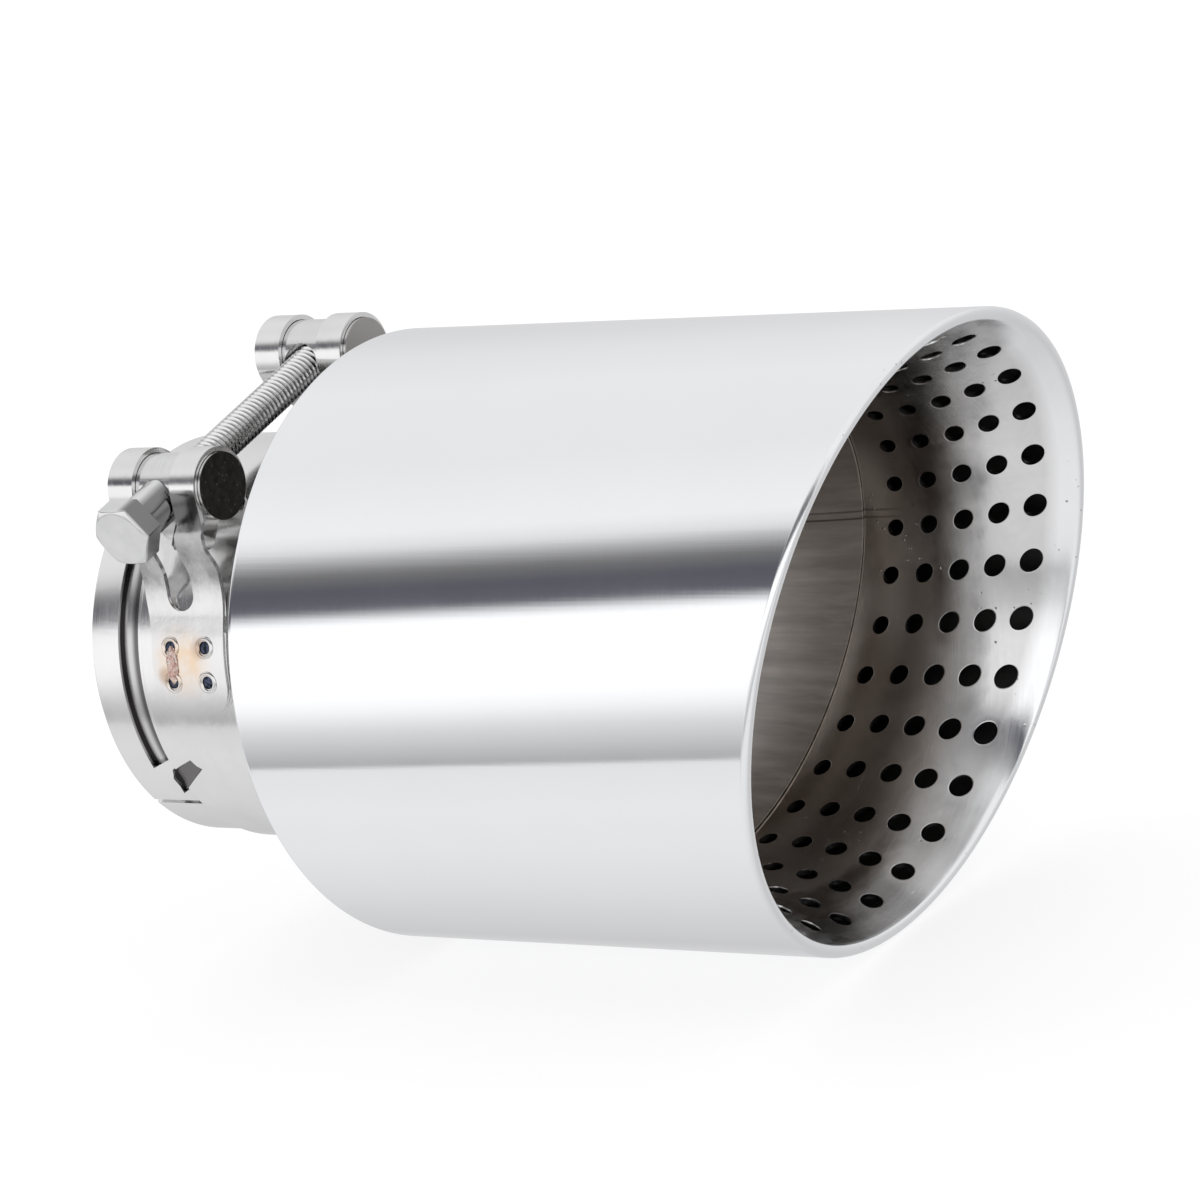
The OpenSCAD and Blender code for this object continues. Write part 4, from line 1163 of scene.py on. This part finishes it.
class TIP_OT_clamp(bpy.types.Operator):
    """Rolls the band and turns the trunnions, the sleeve and the threaded bolt"""
    bl_idname = "tip.clamp"
    bl_label = "Band, trunnions and bolt"

    def execute(self, context):
        s, c = context.scene.tip_sheet, context.scene.tip_clamp
        self.band(s, c)
        for name, u, node in (("near_barrel", -c.near_pin_u, "near_trunnion"),
                              ("far_barrel", c.far_pin_u, "far_trunnion")):
            self.barrel(name, u, node, c)
        self.sleeve(c)
        self.bolt(c)
        return {"FINISHED"}

    def band(self, s, c):
        r0, r1 = s.collar_r + 0.05 * MM, s.collar_r + 0.05 * MM + c.band_t
        x0, x1 = c.band_x, c.band_x + c.band_w
        e = 0.25 * MM
        k = 0.28 * e
        strip = [(x0 + e, r1), (x1 - e, r1), (x1 - k, r1 - k), (x1, r1 - e), (x1, r0 + e),
                 (x1 - e, r0), (x0 + e, r0), (x0, r0 + e), (x0, r1 - e), (x0 + k, r1 - k)]
        band = spun("rolled_band", strip, 192)
        low = math.pi - math.atan2(c.bolt_h, -c.far_pin_u) - math.radians(10) + c.turn
        high = math.atan2(c.bolt_h, -c.near_pin_u) - math.radians(10) + c.turn
        mid = (low + high) / 2
        reach = 3 * r1
        wedge = [(x0 - MM, k * reach * math.cos(a), k * reach * math.sin(a))
                 for a, k in ((low, 1), (mid, 1.4), (high, 1))]
        gap = prism("gap_cutter", [(x0 - MM, 0, 0)] + wedge, Vector((c.band_w + 2 * MM, 0, 0)))
        cut(band, gap, window_cutter(s, r0 - 0.5 * MM))
        eased(band, 0.10, 2, 60)
        finished(band, FINISH["clamp"], replaces=("clamp_band",))

    def barrel(self, name, u, node, c):
        pin = barrel(name, c.pin_d / 2, -c.pin_len / 2, c.pin_len / 2, 72)
        turned(pin, Matrix.Translation((c.bolt_x, u, c.bolt_h)) @ Matrix.Rotation(math.pi / 2, 4, "Y"))
        across = self.across(c)
        hole = turned(barrel("hole_cutter", c.bolt_d / 2 + 0.2 * MM, u - c.pin_d, u + c.pin_d, 48), across)
        if u < 0:
            seat = -(c.near_pin_u + c.pin_d / 2 - c.seat_depth)
            socket = barrel("seat_cutter", c.sleeve_d / 2 + 0.1 * MM, seat - c.pin_d, seat, 64)
        else:
            mouth = u - c.pin_d / 2 + 2.6 * MM
            socket = barrel("mouth_cutter", c.bolt_d / 2 + 1.0 * MM, mouth - c.pin_d, mouth, 64)
        cut(pin, hole, turned(socket, across))
        eased(pin, 0.3, 3, 40)
        turned(pin, clamp_frame(c))
        finished(pin, FINISH["trunnion"], replaces=(node,))

    def across(self, c):
        """Stands a shape drawn along Z on the bolt's axis, in the clamp's frame."""
        return Matrix.Translation((c.bolt_x, 0, c.bolt_h)) @ Matrix.Rotation(-math.pi / 2, 4, "X")

    def sleeve(self, c):
        seat = c.near_pin_u + c.pin_d / 2 - c.seat_depth
        sleeve = barrel("spacer_tube", c.sleeve_d / 2, -seat - c.sleeve_len, -seat, 64)
        cut(sleeve, barrel("bore_cutter", c.bolt_d / 2 + 0.1 * MM, -seat - 2 * c.sleeve_len, 0, 48))
        eased(sleeve, 0.2, 3, 40)
        turned(sleeve, clamp_frame(c) @ self.across(c))
        finished(sleeve, FINISH["bolt"], replaces=("spacer_sleeve",))

    def bolt(self, c):
        seat = c.near_pin_u + c.pin_d / 2 - c.seat_depth
        under = -seat - c.sleeve_len
        tip = c.far_pin_u + c.pin_d / 2
        r, p = c.bolt_d / 2, c.thread_pitch
        start = -c.near_pin_u - c.pin_d / 2 + 2 * MM
        rod = self.thread(r, p, start, tip)
        plain = barrel("plain_shank", r - 0.02 * MM, under, start, 48)
        hexagon = barrel("bolt_head", c.head_af / 2 / math.cos(math.pi / 6), under - c.head_h, under, 6)
        turned(hexagon, Matrix.Rotation(math.pi / 6, 4, "Z"))
        deselect()
        top = 0.5 * c.head_af
        bpy.ops.mesh.primitive_cone_add(vertices=96, radius1=0.93 * top, radius2=0.93 * top + 2 * c.head_h,
                                        depth=c.head_h + 0.02 * MM, location=(0, 0, under - c.head_h / 2))
        cone = bpy.context.object
        cut(hexagon, cone, operation="INTERSECT")
        eased(hexagon, 0.16, 2, 20)
        for piece in (rod, plain):
            smooth(piece, 40)
        bolt = joined([hexagon, plain, rod], "threaded_bolt")
        turned(bolt, clamp_frame(c) @ self.across(c))
        finished(bolt, FINISH["bolt"], replaces=("clamp_bolt",))

    def thread(self, r, p, low, high):
        """The thread's core with its helical ridge wound round it from one profile."""
        core = r - 0.6 * p
        foot, flank, neck = core - 0.1 * p, core + 0.02 * p, r - 0.05 * p
        shape = ((foot, 0.04), (flank, 0.1), (neck, 0.47), (r, 0.5), (r, 0.56), (neck, 0.59),
                 (flank, 0.94), (foot, 0.99))
        ridge = drawn([(out, 0, k * p) for out, k in shape])
        turns = int((high - low) / p) - 1
        modified(ridge, "SCREW", angle=2 * math.pi, screw_offset=p, iterations=turns, axis="Z",
                 steps=56, render_steps=56)
        ridge.location.z = low + 0.5 * p
        settle(ridge, "thread_ridge")
        in_edit(ridge)
        bpy.ops.mesh.fill_holes(sides=0)
        bpy.ops.mesh.select_all(action="SELECT")
        bpy.ops.mesh.normals_make_consistent(inside=False)
        bpy.ops.object.mode_set(mode="OBJECT")
        return joined([barrel("thread_core", core, low, high, 56), ridge], "thread")


class TIP_OT_stage(bpy.types.Operator):
    """Sets the camera, the pale floor and the soft studio light"""
    bl_idname = "tip.stage"
    bl_label = "Stage"

    def execute(self, context):
        self.camera(context)
        self.floor()
        self.light(context)
        context.scene.view_settings.view_transform = "Standard"
        return {"FINISHED"}

    def camera(self, context):
        s = context.scene.tip_stage
        back = Vector((math.sin(s.azimuth) * math.cos(s.elevation),
                       -math.cos(s.azimuth) * math.cos(s.elevation), math.sin(s.elevation)))
        right = (-back).cross(Vector((0, 0, 1))).normalized()
        up = -(-back).cross(right)
        right, up = (math.cos(s.roll) * right - math.sin(s.roll) * up,
                     math.sin(s.roll) * right + math.cos(s.roll) * up)
        aim = Vector((90 * MM, 0, 0))
        deselect()
        bpy.ops.object.camera_add()
        cam = bpy.context.object
        cam.name = "photo_camera"
        turn = Matrix((right, up, back)).transposed().to_4x4()
        place = aim + back * s.distance - right * s.right_off + up * s.down_off
        cam.matrix_world = Matrix.Translation(place) @ turn
        cam.data.lens = s.lens
        cam.data.sensor_width = 36.0
        cam.data.clip_start = 0.01
        cam.data.clip_end = 20.0
        context.scene.camera = cam

    def floor(self):
        deselect()
        bpy.ops.mesh.primitive_plane_add(size=1.0, location=(0, 0, START_LO.z - 0.0002))
        floor = bpy.context.object
        in_edit(floor)
        bpy.ops.transform.resize(value=(12, 12, 1))
        bpy.ops.mesh.subdivide(number_cuts=3)
        bpy.ops.object.mode_set(mode="OBJECT")
        settle(floor, "pale_floor")
        mat = bpy.data.materials.new("pale_floor_paint")
        mat.use_nodes = True
        tree = mat.node_tree
        tree.nodes.clear()
        out = tree.nodes.new("ShaderNodeOutputMaterial")
        paint = tree.nodes.new("ShaderNodeBsdfDiffuse")
        paint.inputs["Color"].default_value = (0.36, 0.36, 0.365, 1)
        glow = tree.nodes.new("ShaderNodeEmission")
        glow.inputs["Strength"].default_value = 0.74
        both = tree.nodes.new("ShaderNodeAddShader")
        tree.links.new(paint.outputs[0], both.inputs[0])
        tree.links.new(glow.outputs[0], both.inputs[1])
        tree.links.new(both.outputs[0], out.inputs["Surface"])
        floor.data.materials.append(mat)
        floor.visible_glossy = False

    def light(self, context):
        world = bpy.data.worlds.new("studio")
        world.use_nodes = True
        context.scene.world = world
        tree = world.node_tree
        tree.nodes.clear()
        new, link = tree.nodes.new, tree.links.new

        def calc(op, a, b=None, c=None):
            n = new("ShaderNodeMath")
            n.operation = op
            for i, v in enumerate((a, b, c)):
                if isinstance(v, bpy.types.NodeSocket):
                    link(v, n.inputs[i])
                elif v is not None:
                    n.inputs[i].default_value = v
            return n.outputs[0]

        coord = new("ShaderNodeTexCoord")
        axes = new("ShaderNodeSeparateXYZ")
        link(coord.outputs["Generated"], axes.inputs[0])
        x, y, z = axes.outputs
        turn = calc("MULTIPLY", calc("ARCTAN2", z, y), 180 / math.pi)
        lean = calc("MULTIPLY", calc("MINIMUM", calc("MAXIMUM", calc("ADD", x, 0.62), -0.06), 0.06), 130.0)
        shifted = calc("ADD", calc("ADD", turn, 22.0), lean)
        mark = calc("FRACT", calc("ADD", calc("DIVIDE", shifted, 360.0), 1.0))
        ramp = new("ShaderNodeValToRGB")
        link(mark, ramp.inputs[0])
        levels = [
            (0.70, -22), (0.73, -1), (0.77, 12), (0.865, 32), (0.935, 55), (0.92, 90), (0.975, 109),
            (1.0, 118), (0.86, 124), (0.50, 128), (0.20, 133), (0.11, 139), (0.13, 146.5), (1.0, 150.5),
            (1.22, 152), (1.2, 178), (1.08, 184), (0.79, 192), (0.56, 202), (0.46, 206), (0.89, 207.2),
            (0.93, 225), (0.90, 245), (0.83, 265), (0.745, 283), (0.64, 310), (0.70, 337.9),
        ]
        marks = ramp.color_ramp.elements
        for level, at in levels:
            if at == -22 or at == 337.9:
                m = marks[0] if at < 0 else marks[-1]
                m.position = (at + 22) / 360
            else:
                m = marks.new((at + 22) / 360)
            cool = 1.2 if 139 <= at < 150 else 1.012
            m.color = (level, level, level * cool, 1)
        room = new("ShaderNodeBackground")
        link(ramp.outputs[0], room.inputs["Color"])
        room.inputs["Strength"].default_value = 1.0
        white = new("ShaderNodeBackground")
        white.inputs["Color"].default_value = (1, 1, 1, 1)
        path = new("ShaderNodeLightPath")
        seen = new("ShaderNodeMixShader")
        link(path.outputs["Is Camera Ray"], seen.inputs[0])
        link(room.outputs[0], seen.inputs[1])
        link(white.outputs[0], seen.inputs[2])
        out = new("ShaderNodeOutputWorld")
        link(seen.outputs[0], out.inputs["Surface"])


class TIP_PT_panel(bpy.types.Panel):
    """Lists the pieces of the exhaust tip"""
    bl_idname = "TIP_PT_panel"
    bl_label = "Exhaust tip"
    bl_space_type = "VIEW_3D"
    bl_region_type = "UI"
    bl_category = "Exhaust tip"

    def draw(self, context):
        for group in GROUPS:
            box = self.layout.box()
            box.label(text=GROUPS[group].__doc__)
            props = getattr(context.scene, group)
            for key in GROUPS[group].__annotations__:
                box.prop(props, key)
        for operator in OPERATORS:
            self.layout.operator(operator.bl_idname)


GROUPS = {"tip_sheet": TipSheetSizes, "tip_clamp": TipClampSizes, "tip_finishes": TipFinishes,
          "tip_stage": TipStageSetup}
OPERATORS = (TIP_OT_finishes, TIP_OT_shell, TIP_OT_liner, TIP_OT_tube, TIP_OT_straps, TIP_OT_clamp,
             TIP_OT_stage)


def register():
    for cls in (*GROUPS.values(), *OPERATORS, TIP_PT_panel):
        bpy.utils.register_class(cls)
    for name, cls in GROUPS.items():
        setattr(bpy.types.Scene, name, bpy.props.PointerProperty(type=cls))


def unregister():
    for name in GROUPS:
        delattr(bpy.types.Scene, name)
    for cls in (TIP_PT_panel, *reversed(OPERATORS), *reversed(tuple(GROUPS.values()))):
        bpy.utils.unregister_class(cls)


def main():
    register()
    bpy.ops.tip.finishes()
    bpy.ops.tip.shell()
    bpy.ops.tip.liner()
    bpy.ops.tip.tube()
    bpy.ops.tip.straps()
    bpy.ops.tip.clamp()
    bpy.ops.tip.stage()


if __name__ == "__main__":
    main()
